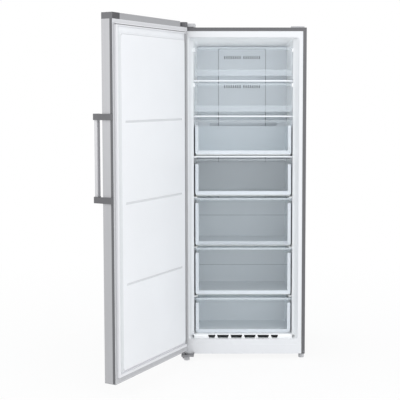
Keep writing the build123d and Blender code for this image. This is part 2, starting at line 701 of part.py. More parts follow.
def base_air_grille():
    """Raised floor under the lowest drawer; its riser is pierced between tapered posts."""
    half = wall_half(THROAT_Y) - PANEL_GAP
    front_half = between(GRILLE_FRONT, SECTIONS[1], SECTIONS[2], 1) - PANEL_GAP
    throat = THROAT_Y + PANEL_GAP
    back_half = wall_half(GRILLE_BACK) - PANEL_GAP
    plate_line = [(-front_half, GRILLE_FRONT), (front_half, GRILLE_FRONT), (half, throat),
                  (back_half, GRILLE_BACK), (-back_half, GRILLE_BACK), (-half, throat)]
    plate = prism_z(plate_line, GRILLE_TOP - GRILLE_SHEET, GRILLE_TOP)
    low = MOUTH_FLOOR
    back = GRILLE_FRONT + GRILLE_RISER
    narrow = between(back, SECTIONS[1], SECTIONS[2], 1) - MOUTH_CORNER
    riser = block(-narrow, narrow, GRILLE_FRONT, back, low, GRILLE_TOP)
    window_top = GRILLE_TOP - GRILLE_SHEET
    window = [(-GRILLE_OPEN_HALF + POST_TOP, low), (GRILLE_OPEN_HALF - POST_TOP, low),
              (GRILLE_OPEN_HALF, window_top), (-GRILLE_OPEN_HALF, window_top)]
    riser = riser - prism_y(window, GRILLE_FRONT, back)
    grille = plate + riser
    first = -(GRILLE_POSTS - 1) / 2 * GRILLE_PITCH
    for number in range(GRILLE_POSTS):
        centre = first + number * GRILLE_PITCH
        post = [(centre - POST_FOOT / 2, low), (centre + POST_FOOT / 2, low),
                (centre + POST_TOP / 2, GRILLE_TOP), (centre - POST_TOP / 2, GRILLE_TOP)]
        grille = grille + prism_y(post, GRILLE_FRONT, back)
    return grille


# ---------------------------------------------------------------- machine compartment
def compressor():
    """Domed can on a mounting plate."""
    low = base_top + GROMMET_HEIGHT
    foot = low + PLATE_SHEET
    top = foot + COMPRESSOR_HEIGHT
    can = rod_z(COMPRESSOR_RADIUS, foot - LAP, top, COMPRESSOR_X, COMPRESSOR_Y)
    crown = can.edges().filter_by(GeomType.CIRCLE).sort_by(Axis.Z)[-1:]
    can = fillet(crown, COMPRESSOR_CROWN)
    spread_x = GROMMET_SPREAD[0] + GROMMET_RADIUS + PLATE_EDGE
    spread_y = GROMMET_SPREAD[1] + GROMMET_RADIUS + PLATE_EDGE
    plate = block(COMPRESSOR_X - spread_x, COMPRESSOR_X + spread_x, COMPRESSOR_Y - spread_y,
                  COMPRESSOR_Y + spread_y, low, foot)
    middle = (foot + top) / 2
    seam = rod_z(COMPRESSOR_RADIUS + SEAM_WIDTH, middle - SEAM_WIDTH, middle + SEAM_WIDTH,
                 COMPRESSOR_X, COMPRESSOR_Y)
    return can + plate + seam


def compressor_grommets():
    """Four rubber feet between the mounting plate and the base."""
    feet = []
    spread_x, spread_y = GROMMET_SPREAD
    for side in (-1, 1):
        for end in (-1, 1):
            x = COMPRESSOR_X + side * spread_x
            y = COMPRESSOR_Y + end * spread_y
            feet.append(rod_z(GROMMET_RADIUS, base_top, base_top + GROMMET_HEIGHT, x, y))
    return Compound(children=feet)


def terminal_box():
    """Electric box on the can's left side."""
    right = COMPRESSOR_X - COMPRESSOR_RADIUS + TERMINAL_SINK
    low = base_top + GROMMET_HEIGHT + TERMINAL_LOW
    box = block(right - TERMINAL_WIDTH, right, COMPRESSOR_Y - TERMINAL_DEPTH / 2,
                COMPRESSOR_Y + TERMINAL_DEPTH / 2, low, low + TERMINAL_HEIGHT)
    upright = box.edges().filter_by(Axis.Z)
    return fillet(upright, TERMINAL_ROUND) - compressor()


def drip_tray():
    """Open tray over the compressor that catches the defrost water."""
    low = base_top + GROMMET_HEIGHT + PLATE_SHEET + COMPRESSOR_HEIGHT + SEAT
    tray = block(COMPRESSOR_X - TRAY_HALF, COMPRESSOR_X + TRAY_HALF, COMPRESSOR_Y - TRAY_DEPTH_HALF,
                 COMPRESSOR_Y + TRAY_DEPTH_HALF, low, low + TRAY_HEIGHT)
    tray = fillet(tray.edges().filter_by(Axis.Z), TRAY_CORNER)
    return offset(tray, -TRAY_WALL, openings=tray.faces().sort_by(Axis.Z)[-1])


def refrigerant_pipes():
    """Hot gas loop over the compartment's floor, from its roof to the compressor."""
    right = COMPRESSOR_X - COMPRESSOR_RADIUS - TERMINAL_WIDTH - PIPE_BEND
    left = PIPE_LEFT + 2 * PIPE_BEND
    first = COMPRESSOR_Y - (PIPE_RUNS - 1) * PIPE_PITCH
    points = [(PIPE_LEFT, first, machine_ceiling - SEAT), (PIPE_LEFT, first, PIPE_Z)]
    for run in range(PIPE_RUNS):
        y = first + run * PIPE_PITCH
        if run > 0:
            points.append((points[-1][0], y, PIPE_Z))
        points.append((right if run % 2 == 0 else left, y, PIPE_Z))
    points[-1] = (COMPRESSOR_X - COMPRESSOR_RADIUS - SEAT, COMPRESSOR_Y, PIPE_Z)
    route = FilletPolyline(*points, radius=PIPE_BEND)
    start_plane = Plane(origin=points[0], z_dir=(0, 0, -1))
    return sweep(start_plane * Circle(PIPE_RADIUS), path=route)


def mains_inlet():
    """Socket for a mains lead, on the inside of the cabinet's left side."""
    back = back_inside
    box = block(-inner_half, -inner_half + INLET_WIDTH, back - INLET_DEPTH, back,
                INLET_Z, INLET_Z + INLET_HEIGHT)
    well = block(-inner_half + INLET_RIM, -inner_half + INLET_WIDTH - INLET_RIM,
                 back - INLET_RECESS, back, INLET_Z + INLET_RIM, INLET_Z + INLET_HEIGHT - INLET_RIM)
    socket = box - fillet(well.edges().filter_by(Axis.Y), INLET_CORNER)
    middle_x = -inner_half + INLET_WIDTH / 2
    middle_z = INLET_Z + INLET_HEIGHT / 2
    for place in INLET_PINS:
        pin = Pos(middle_x, 0, middle_z + place)
        pin = pin * block(-INLET_PIN_WIDTH / 2, INLET_PIN_WIDTH / 2, back - INLET_RECESS,
                          back - INLET_PIN_INSET, -INLET_PIN_HEIGHT / 2, INLET_PIN_HEIGHT / 2)
        socket = socket + pin
    return socket


# ---------------------------------------------------------------- feet and rollers
def levelling_foot(x, y):
    """Round foot with a stem that screws into the nut over it."""
    pad = Cylinder(FOOT_RADIUS, FOOT_PAD, align=(Align.CENTER, Align.CENTER, Align.MIN))
    pad = fillet(pad.edges().filter_by(GeomType.CIRCLE), FOOT_ROUND)
    neck_top = FOOT_PAD + FOOT_NECK
    foot = Pos(x, y, 0) * pad
    foot = foot + rod_z(FOOT_NECK_RADIUS, FOOT_PAD - LAP, neck_top, x, y)
    return foot + rod_z(FOOT_STEM_RADIUS, neck_top - LAP, FOOT_STEM_TOP, x, y)


def roller(x):
    """Rear transport roller."""
    wheel = rod_x(ROLLER_RADIUS, x - ROLLER_WIDTH / 2, x + ROLLER_WIDTH / 2, ROLLER_Y, ROLLER_RADIUS)
    wheel = fillet(wheel.edges().filter_by(GeomType.CIRCLE), ROLLER_ROUND)
    bore = ROLLER_PIN_RADIUS + RUNNING_GAP
    return wheel - rod_x(bore, x - ROLLER_WIDTH, x + ROLLER_WIDTH, ROLLER_Y, ROLLER_RADIUS)


def roller_fork(x):
    """Steel fork under the base with the roller's axle pin."""
    cheek_inner = ROLLER_WIDTH / 2 + ROLLER_SIDE_GAP
    cheek_outer = cheek_inner + CHEEK
    fork = block(x - cheek_outer, x + cheek_outer, ROLLER_Y - FORK_HALF, ROLLER_Y + FORK_HALF,
                 CABINET_BOTTOM - CHEEK, CABINET_BOTTOM)
    fork = fork + rod_x(ROLLER_PIN_RADIUS, x - cheek_outer, x + cheek_outer, ROLLER_Y, ROLLER_RADIUS)
    for side in (-1, 1):
        near, far = sorted((x + side * cheek_inner, x + side * cheek_outer))
        fork = fork + block(near, far, ROLLER_Y - CHEEK_HALF, ROLLER_Y + CHEEK_HALF,
                            CHEEK_BOTTOM, CABINET_BOTTOM)
    return fork


# ---------------------------------------------------------------- hinges
def top_hinge():
    """Arm on the cabinet's roof with a raised nose over the door and a pin under it."""
    left = -half_width + ARM_INSET
    nose = block(left, left + NOSE_WIDTH, pivot_y - NOSE_REACH, NOSE_BACK,
                 CABINET_TOP, CABINET_TOP + NOSE_HEIGHT)
    front = nose.edges().filter_by(Axis.Z).sort_by(Axis.Y)[:2]
    nose = fillet(front, NOSE_ROUND)
    arm = block(left, left + ARM_WIDTH, NOSE_BACK - LAP, ARM_BACK, CABINET_TOP, CABINET_TOP + ARM_SHEET)
    pin_end = recess_floor - BUSH_LENGTH
    pin = rod_z(HINGE_PIN_RADIUS, pin_end, CABINET_TOP + LAP, pivot_x, pivot_y)
    return nose + arm + pin


def top_hinge_cover():
    """Light cap over the arm, open underneath."""
    left = -half_width + HINGE_COVER_INSET
    front = NOSE_BACK + PANEL_GAP
    top = CABINET_TOP + HINGE_COVER_HEIGHT
    outer = block(left, left + HINGE_COVER_WIDTH, front, front + HINGE_COVER_DEPTH,
                  CABINET_TOP, top)
    outer = fillet(outer.edges().filter_by(Axis.Z), HINGE_COVER_CORNER)
    outer = fillet(outer.faces().sort_by(Axis.Z)[-1].edges(), COVER_EDGE)
    wall = HINGE_COVER_WALL
    inner = block(left + wall, left + HINGE_COVER_WIDTH - wall, front + wall,
                  front + HINGE_COVER_DEPTH - wall, CABINET_TOP, top - wall)
    slot_top = CABINET_TOP + ARM_SHEET + PANEL_GAP
    slot = block(left - LAP, left + ARM_WIDTH, front - LAP, front + wall, CABINET_TOP, slot_top)
    side = block(left - LAP, left + wall, front - LAP, ARM_BACK + PANEL_GAP, CABINET_TOP, slot_top)
    return outer - inner - slot - side


def hinge_hole_cover():
    """Low cap on the other end of the roof, over the spare hinge holes."""
    cap = block(HOLE_COVER_LEFT, HOLE_COVER_LEFT + HOLE_COVER_WIDTH, HOLE_COVER_FRONT,
                HOLE_COVER_FRONT + HOLE_COVER_DEPTH, CABINET_TOP, CABINET_TOP + HOLE_COVER_HEIGHT)
    cap = fillet(cap.edges().filter_by(Axis.Z), HOLE_COVER_CORNER)
    return fillet(cap.faces().sort_by(Axis.Z)[-1].edges(), COVER_EDGE)


def bottom_hinge():
    """Plate under the base with a rim, the lower pin, its spacer and the left foot's nut."""
    left = -inner_half
    right = left + LOW_ARM_WIDTH
    low = CABINET_BOTTOM - LOW_ARM_SHEET
    plate = block(left, right, LOW_ARM_FRONT, LOW_ARM_BACK, low, CABINET_BOTTOM)
    corners = plate.edges().filter_by(Axis.Z).sort_by(Axis.Y)[:2]
    plate = fillet(corners, LOW_ARM_CORNER)
    rim_top = CABINET_BOTTOM + LOW_ARM_RIM
    rim = block(left, right, LOW_ARM_FRONT, -SEAT, CABINET_BOTTOM, rim_top)
    rim = fillet(rim.edges().filter_by(Axis.Z).sort_by(Axis.Y)[:2], LOW_ARM_CORNER)
    wall = LOW_ARM_RIM_SHEET
    well = block(left + wall, right - wall, LOW_ARM_FRONT + wall, 0, CABINET_BOTTOM, rim_top)
    well = fillet(well.edges().filter_by(Axis.Z).sort_by(Axis.Y)[:2], LOW_ARM_CORNER - wall)
    spacer_top = DOOR_BOTTOM - SEAT
    pin_top = DOOR_BOTTOM + BUSH_LENGTH
    foot_x, foot_y = FOOT_PLACES[0]
    hinge = plate + (rim - well)
    hinge = hinge + rod_z(SPACER_RADIUS, CABINET_BOTTOM - LAP, spacer_top, pivot_x, pivot_y)
    hinge = hinge + rod_z(HINGE_PIN_RADIUS, low - PIN_TAIL, pin_top, pivot_x, pivot_y)
    hinge = hinge + rod_z(NUT_RADIUS, CABINET_BOTTOM - LAP, rim_top, foot_x, foot_y)
    return hinge - rod_z(FOOT_STEM_RADIUS + RUNNING_GAP, low, rim_top, foot_x, foot_y)


def bush(low):
    """Plastic sleeve round a hinge pin."""
    outer = rod_z(HINGE_PIN_RADIUS + BUSH_WALL, low, low + BUSH_LENGTH, pivot_x, pivot_y)
    bore = HINGE_PIN_RADIUS + RUNNING_GAP
    return outer - rod_z(bore, low, low + BUSH_LENGTH, pivot_x, pivot_y)


def hinge_bushes():
    """The two sleeves in the ends of the door."""
    return Compound(children=[bush(recess_floor - BUSH_LENGTH), bush(DOOR_BOTTOM)])


# ---------------------------------------------------------------- door
def door_skin():
    """Front sheet with both side returns."""
    side_low = DOOR_BOTTOM + DOOR_FOOT_BAND
    front = block(-half_width, half_width, door_outer, door_front_inside, DOOR_BOTTOM, DOOR_TOP)
    skin = front
    for side in (-1, 1):
        near, far = sorted((side * inner_half, side * half_width))
        skin = skin + block(near, far, door_outer, door_liner_face, side_low, cap_floor)
    corners = skin.edges().filter_by(Axis.Z).sort_by(Axis.Y)[:2]
    return fillet(corners, SKIN_ROUND)


def pad_body(shrink, low):
    """Raised middle of the door's inner face from depth low, with sloping sides."""
    def outline(y, inset):
        width = 2 * (PAD_HALF - inset)
        height = PAD_TOP - PAD_BOTTOM - 2 * inset
        middle = (PAD_TOP + PAD_BOTTOM) / 2
        plane = Plane(origin=(0, y, middle), x_dir=(1, 0, 0), z_dir=(0, -1, 0))
        return plane * RectangleRounded(width, height, PAD_CORNER)
    high = door_inner + PAD_HEIGHT - shrink
    return loft([outline(low, shrink), outline(high, PAD_SLOPE + shrink)], ruled=True)


def grooves(deeper):
    """Three level grooves across the raised middle; deeper widens them for the core."""
    cuts = []
    top = door_inner + PAD_HEIGHT
    for height in PAD_GROOVES:
        width = GROOVE_WIDTH / 2 + deeper
        floor = GROOVE_WIDTH / 4 + deeper
        depth = GROOVE_DEPTH + deeper
        shape = [(top - depth, height - floor), (top - depth, height + floor),
                 (top, height + width), (top, height - width)]
        span = PAD_HALF - PAD_SLOPE - GROOVE_MARGIN
        cuts.append(prism_x(shape, -span - deeper, span + deeper))
    return cuts


def door_liner():
    """Formed inner skin: a flat rim and the raised, grooved middle."""
    low = DOOR_BOTTOM + DOOR_FOOT_BAND
    rim = block(-inner_half, inner_half, door_liner_face, door_inner, low, cap_floor)
    liner = rim + pad_body(0, door_inner) - pad_core()
    for cut in grooves(0):
        liner = liner - cut
    return liner


def pad_core():
    """The space behind the raised middle."""
    core = pad_body(LINER_SHEET, door_liner_face)
    for cut in grooves(LINER_SHEET):
        core = core - cut
    return core


def door_foam():
    """Flat foam slab and the core of the raised middle."""
    low = DOOR_BOTTOM + DOOR_CAP_ROOT
    high = cap_floor - DOOR_CAP_ROOT
    slab = block(-inner_half, inner_half, door_front_inside, door_liner_face, low, high)
    core = pad_core()
    seam = block(-PAD_HALF, PAD_HALF, door_liner_face, door_liner_face + FOAM_SEAM, PAD_BOTTOM, PAD_TOP)
    return Compound(children=[slab, core - seam])


def door_gasket():
    """Magnetic seal: a soft frame round the raised middle."""
    outer_half = half_width - GASKET_INSET
    low = DOOR_BOTTOM + GASKET_FOOT_INSET
    high = DOOR_TOP - GASKET_HEAD_INSET
    face = -GASKET_SQUEEZE
    width = GASKET_WIDTH
    outer = block(-outer_half, outer_half, door_inner, face, low, high)
    outer = fillet(outer.edges().filter_by(Axis.Y), GASKET_CORNER)
    inner = block(-outer_half + width, outer_half - width, door_inner, face,
                  low + width, high - width)
    ring = outer - fillet(inner.edges().filter_by(Axis.Y), GASKET_INNER_CORNER)
    lips = ring.faces().sort_by(Axis.Y)[-1].edges()
    return chamfer(lips, GASKET_LIP)


def cap_sockets():
    """Round seats of the two hinge bushes."""
    radius = HINGE_PIN_RADIUS + BUSH_WALL
    upper = rod_z(radius, recess_floor - BUSH_LENGTH, DOOR_TOP, pivot_x, pivot_y)
    lower = rod_z(radius, DOOR_BOTTOM, DOOR_BOTTOM + BUSH_LENGTH, pivot_x, pivot_y)
    return upper, lower


def door_top_cap():
    """Light plastic band on the door's upper end with a root inside the door."""
    band = block(-half_width, half_width - PLUG_LENGTH, door_front_inside, door_inner,
                 cap_floor, DOOR_TOP)
    ridge = band.edges().filter_by(Axis.X).sort_by(Axis.Y)[-2:].sort_by(Axis.Z)[-1:]
    band = fillet(ridge, CAP_ROUND)
    root = block(-inner_half, inner_half, door_front_inside, door_liner_face,
                 cap_floor - DOOR_CAP_ROOT, cap_floor)
    recess = block(-half_width, -half_width + HINGE_RECESS, door_front_inside, door_inner,
                   recess_floor, DOOR_TOP)
    return band + root - recess - cap_sockets()[0]


def door_bottom_cap():
    """Plastic cap in the door's lower end."""
    band = block(-half_width, half_width, door_front_inside, door_inner,
                 DOOR_BOTTOM, DOOR_BOTTOM + DOOR_FOOT_BAND)
    root = block(-inner_half, inner_half, door_front_inside, door_liner_face,
                 DOOR_BOTTOM, DOOR_BOTTOM + DOOR_CAP_ROOT)
    return band + root - cap_sockets()[1]


def door_top_plug():
    """Plug in the upper handle corner, where the hinge of a right-hung door would go."""
    right = half_width
    plug = block(right - PLUG_LENGTH, right, door_front_inside, door_inner, cap_floor, DOOR_TOP)
    edge = plug.edges().filter_by(Axis.Z).sort_by(Axis.X)[-2:].sort_by(Axis.Y)[-1:]
    return fillet(edge, PLUG_ROUND)


def handle_bar():
    """Upright grip between the two brackets."""
    right = half_width - BAR_INSET
    outer = door_outer - HANDLE_REACH
    bar = block(right - BAR_WIDTH, right, outer, outer + BAR_DEPTH,
                HANDLE_BOTTOM + HANDLE_BRACKET, HANDLE_TOP - HANDLE_BRACKET)
    return fillet(bar.edges().filter_by(Axis.Z), BAR_ROUND)


def handle_bracket(low):
    """Side plate on the door's edge that reaches out and holds one end of the bar."""
    high = low + HANDLE_BRACKET
    outer = door_outer - HANDLE_REACH
    right = half_width + HANDLE_PLATE
    plate = block(half_width, right, outer, door_inner - HANDLE_PLATE_INSET, low, high)
    arm = block(half_width - BAR_INSET - BAR_WIDTH, right, outer, outer + BAR_DEPTH, low, high)
    bracket = plate + arm
    outline = bracket.edges().filter_by(Axis.Z).filter_by_position(Axis.Y, outer - NEAR, outer + NEAR)
    return fillet(outline, BAR_ROUND)


# ---------------------------------------------------------------- flaps and drawers
def flap(pivot, low, high):
    """Clear flap with a thicker grip edge and a pivot pin at each upper corner."""
    front = FLAP_Y - FLAP_THICK / 2
    back = FLAP_Y + FLAP_THICK / 2
    profile = [(front, high), (back, high), (back, low), (front - FLAP_GRIP_REACH, low),
               (front - FLAP_GRIP_REACH, low + FLAP_THICK), (front, low + FLAP_GRIP)]
    panel = prism_x(profile, -FLAP_HALF, FLAP_HALF)
    pin_half = FLAP_HALF + PIVOT_PIN_LENGTH
    for side in (-1, 1):
        near, far = sorted((side * (FLAP_HALF - PIN_ROOT), side * pin_half))
        panel = panel + rod_x(PIVOT_PIN_RADIUS, near, far, FLAP_Y, pivot)
    return panel


def drawer_bin(number):
    """Open box with a frame round its front that the clear front sits on."""
    front_low, front_high = DRAWER_FRONTS[number]
    low = DRAWER_CARRIERS[number] + SEAT
    high = front_high - FRONT_HEAD
    back = LOW_BIN_BACK if number == len(DRAWER_FRONTS) - 1 else BIN_BACK
    frame_y = FRONT_Y + FRONT_THICK
    frame_back = frame_y + BIN_WALL
    nose_low = front_low + BIN_NOSE_LIFT
    outer_line = [(frame_y, nose_low), (frame_y + BIN_NOSE, low), (back, low),
                  (back, high - BIN_REAR_DROP), (frame_y, high)]
    wall = BIN_WALL
    inner_line = [(frame_y, nose_low + wall), (frame_y + BIN_NOSE, low + wall),
                  (back - wall, low + wall), (back - wall, high + LAP), (frame_y, high + LAP)]
    bin_box = prism_x(outer_line, -BIN_HALF, BIN_HALF)
    upright = bin_box.edges().filter_by(Axis.Z).sort_by(Axis.Y)[-2:]
    bin_box = fillet(upright, BIN_CORNER)
    hollow = prism_x(inner_line, -BIN_HALF + wall, BIN_HALF - wall)
    inside = hollow.edges().filter_by(Axis.Z).sort_by(Axis.Y)[-2:]
    hollow = fillet(inside, BIN_CORNER - wall)
    frame = block(-FRONT_HALF, FRONT_HALF, frame_y, frame_back, front_low, high)
    window = block(-FRONT_HALF + FRAME_SIDE, FRONT_HALF - FRAME_SIDE, frame_y, frame_back,
                   front_low + FRAME_FOOT, high)
    lower = frame.edges().filter_by(Axis.Y).sort_by(Axis.Z)[:2]
    frame = fillet(lower, FRONT_CORNER) - window
    return (bin_box - hollow) + frame


def drawer_front(number):
    """Clear panel whose upper edge turns forward into a finger lip."""
    low, high = DRAWER_FRONTS[number]
    back = FRONT_Y + FRONT_THICK
    tip = FRONT_Y - LIP_REACH
    profile = [(back, low), (back, high), (tip, high), (tip, high - LIP_DROP),
               (tip + LIP_THICK, high - LIP_DROP), (tip + LIP_THICK, high - LIP_THICK),
               (FRONT_Y, high - LIP_THICK), (FRONT_Y, low)]
    panel = prism_x(profile, -FRONT_HALF, FRONT_HALF)
    lower = panel.edges().filter_by(Axis.Y).filter_by_position(Axis.Z, low - NEAR, low + NEAR)
    panel = fillet(lower, FRONT_CORNER)
    if number == 0:
        foot = SLOT_TOP - SLOT_HEIGHT
        slot = [(-SLOT_HALF, SLOT_TOP), (SLOT_HALF, SLOT_TOP), (SLOT_HALF - SLOT_SLANT, foot),
                (-SLOT_HALF + SLOT_SLANT, foot)]
        panel = panel - prism_y(slot, FRONT_Y, back)
    return panel


# ---------------------------------------------------------------- the whole freezer
def door_pieces():
    """Every piece that swings with the door, drawn closed."""
    return {
        "door_skin": door_skin(),
        "door_foam": door_foam(),
        "door_liner": door_liner(),
        "door_gasket": door_gasket(),
        "door_top_cap": door_top_cap(),
        "door_bottom_cap": door_bottom_cap(),
        "door_top_plug": door_top_plug(),
        "hinge_bushes": hinge_bushes(),
        "handle_bar": handle_bar(),
        "handle_bracket_upper": handle_bracket(HANDLE_TOP - HANDLE_BRACKET),
        "handle_bracket_lower": handle_bracket(HANDLE_BOTTOM),
    }


def all_pieces():
    """Every node at rest, with the door open."""
    pieces = {
        "side_panel_left": side_panel(-1),
        "side_panel_right": side_panel(1),
        "top_panel": top_panel(),
        "back_panel": back_panel(),
        "inner_liner": inner_liner(),
        "foam_insulation": foam_insulation(),
        "kick_panel": kick_panel(),
        "base_pan": base_pan(),
        "evaporator_cover": evaporator_cover(),
        "air_duct_cover": air_duct_cover(),
        "evaporator": evaporator(),
        "fan_motor": fan_motor(),
        "fan_rotor": fan_rotor(),
        "base_air_grille": base_air_grille(),
        "compressor": compressor(),
        "compressor_grommets": compressor_grommets(),
        "terminal_box": terminal_box(),
        "drip_tray": drip_tray(),
        "refrigerant_pipes": refrigerant_pipes(),
        "mains_inlet": mains_inlet(),
        "roller_left": roller(-ROLLER_X),
        "roller_right": roller(ROLLER_X),
        "foot_left": levelling_foot(*FOOT_PLACES[0]),
        "foot_right": levelling_foot(*FOOT_PLACES[1]),
        "top_hinge": top_hinge(),
        "top_hinge_cover": top_hinge_cover(),
        "hinge_hole_cover": hinge_hole_cover(),
        "bottom_hinge": bottom_hinge(),
    }
    for number, top in enumerate(TRIMMED_SHELVES + PLAIN_SHELVES, start=1):
        pieces[f"glass_shelf_{number}"] = glass_shelf(top)
    for number, top in enumerate(TRIMMED_SHELVES, start=1):
        pieces[f"shelf_trim_{number}"] = shelf_trim(top)
    for number, (pivot, low, high) in enumerate(FLAPS, start=1):
        pieces[f"flap_{number}"] = flap(pivot, low, high)
    for number in range(len(DRAWER_FRONTS)):
        pieces[f"drawer_{number + 1}_bin"] = drawer_bin(number)
        pieces[f"drawer_{number + 1}_front"] = drawer_front(number)
    for name, shape in door_pieces().items():
        pieces[name] = opened(shape)
    return pieces


def origin_shift(pieces):
    """Moves the middle of the whole footprint to the origin, with the floor at Z = 0."""
    boxes = [shape.bounding_box() for shape in pieces.values()]
    middle_x = (min(b.min.X for b in boxes) + max(b.max.X for b in boxes)) / 2
    middle_y = (min(b.min.Y for b in boxes) + max(b.max.Y for b in boxes)) / 2
    return Pos(-middle_x, -middle_y, 0)


def main():
    os.makedirs("parts", exist_ok=True)
    pieces = all_pieces()
    shift = origin_shift(pieces)
    for name, shape in pieces.items():
        export_step(shift * shape, f"parts/{name}.step")
    print(len(pieces), "nodes, shifted by", shift.position)


if __name__ == "__main__":
    main()
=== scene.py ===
import json
import math

import bmesh
import bpy
import numpy as np
from bpy.props import FloatProperty, FloatVectorProperty, IntProperty, PointerProperty
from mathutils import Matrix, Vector


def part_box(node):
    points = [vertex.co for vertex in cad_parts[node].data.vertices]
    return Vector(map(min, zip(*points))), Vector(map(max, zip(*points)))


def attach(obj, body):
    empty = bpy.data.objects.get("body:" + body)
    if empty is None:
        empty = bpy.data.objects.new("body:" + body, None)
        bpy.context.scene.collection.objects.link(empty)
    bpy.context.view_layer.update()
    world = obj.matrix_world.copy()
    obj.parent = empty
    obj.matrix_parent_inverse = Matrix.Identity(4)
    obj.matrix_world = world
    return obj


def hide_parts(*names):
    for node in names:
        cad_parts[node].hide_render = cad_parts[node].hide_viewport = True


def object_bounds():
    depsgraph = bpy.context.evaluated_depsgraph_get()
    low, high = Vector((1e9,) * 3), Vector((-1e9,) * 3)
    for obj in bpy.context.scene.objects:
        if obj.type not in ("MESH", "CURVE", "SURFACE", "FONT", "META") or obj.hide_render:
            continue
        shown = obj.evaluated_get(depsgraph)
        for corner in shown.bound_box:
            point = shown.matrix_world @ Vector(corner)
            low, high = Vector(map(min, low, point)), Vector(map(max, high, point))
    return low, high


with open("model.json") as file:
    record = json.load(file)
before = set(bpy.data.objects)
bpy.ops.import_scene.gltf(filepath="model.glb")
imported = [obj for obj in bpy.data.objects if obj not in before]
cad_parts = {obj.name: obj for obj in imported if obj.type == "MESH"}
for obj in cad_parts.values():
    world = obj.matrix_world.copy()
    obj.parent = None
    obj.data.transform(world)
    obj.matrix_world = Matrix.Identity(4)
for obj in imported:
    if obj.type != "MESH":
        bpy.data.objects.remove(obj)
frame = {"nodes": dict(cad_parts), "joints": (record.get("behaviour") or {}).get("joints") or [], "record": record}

CAD_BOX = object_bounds()

bl_info = {
    "name": "Upright freezer dressing",
    "version": (1, 0, 0),
    "blender": (4, 5, 0),
    "location": "3D View > Sidebar > Freezer",
    "description": "Finishes and small pieces for an upright freezer with an open door",
    "category": "Object",
}

NODES = frame["nodes"]
SLOT_OF = {part["node"]: part["material_slot"] for part in frame["record"]["subparts"]}
JOINTS = {joint["name"]: joint for joint in frame["joints"]}
DOOR_PIVOT = np.array(JOINTS["door_hinge"]["pos_m"][:2])
DOOR_OPEN = math.radians(JOINTS["door_hinge"]["range_deg"][0])   # from closed to rest, about Z
MM = 0.001
X, Y, Z = 0, 1, 2
QUARTER = math.pi / 2


# ---------- sizes and colours
def length(name, text, millimetres):
    """A length property in metres whose default is given in millimetres."""
    return FloatProperty(name=name, description=text, default=millimetres * MM, min=0.0,
                         subtype="DISTANCE", unit="LENGTH")


def power(name, text, watts):
    """The power of a lamp."""
    return FloatProperty(name=name, description=text, default=watts, min=0.0, unit="POWER")


def tint(name, text, colour):
    """A display colour property."""
    return FloatVectorProperty(name=name, description=text, default=colour, min=0.0, max=1.0,
                               size=3, subtype="COLOR_GAMMA")


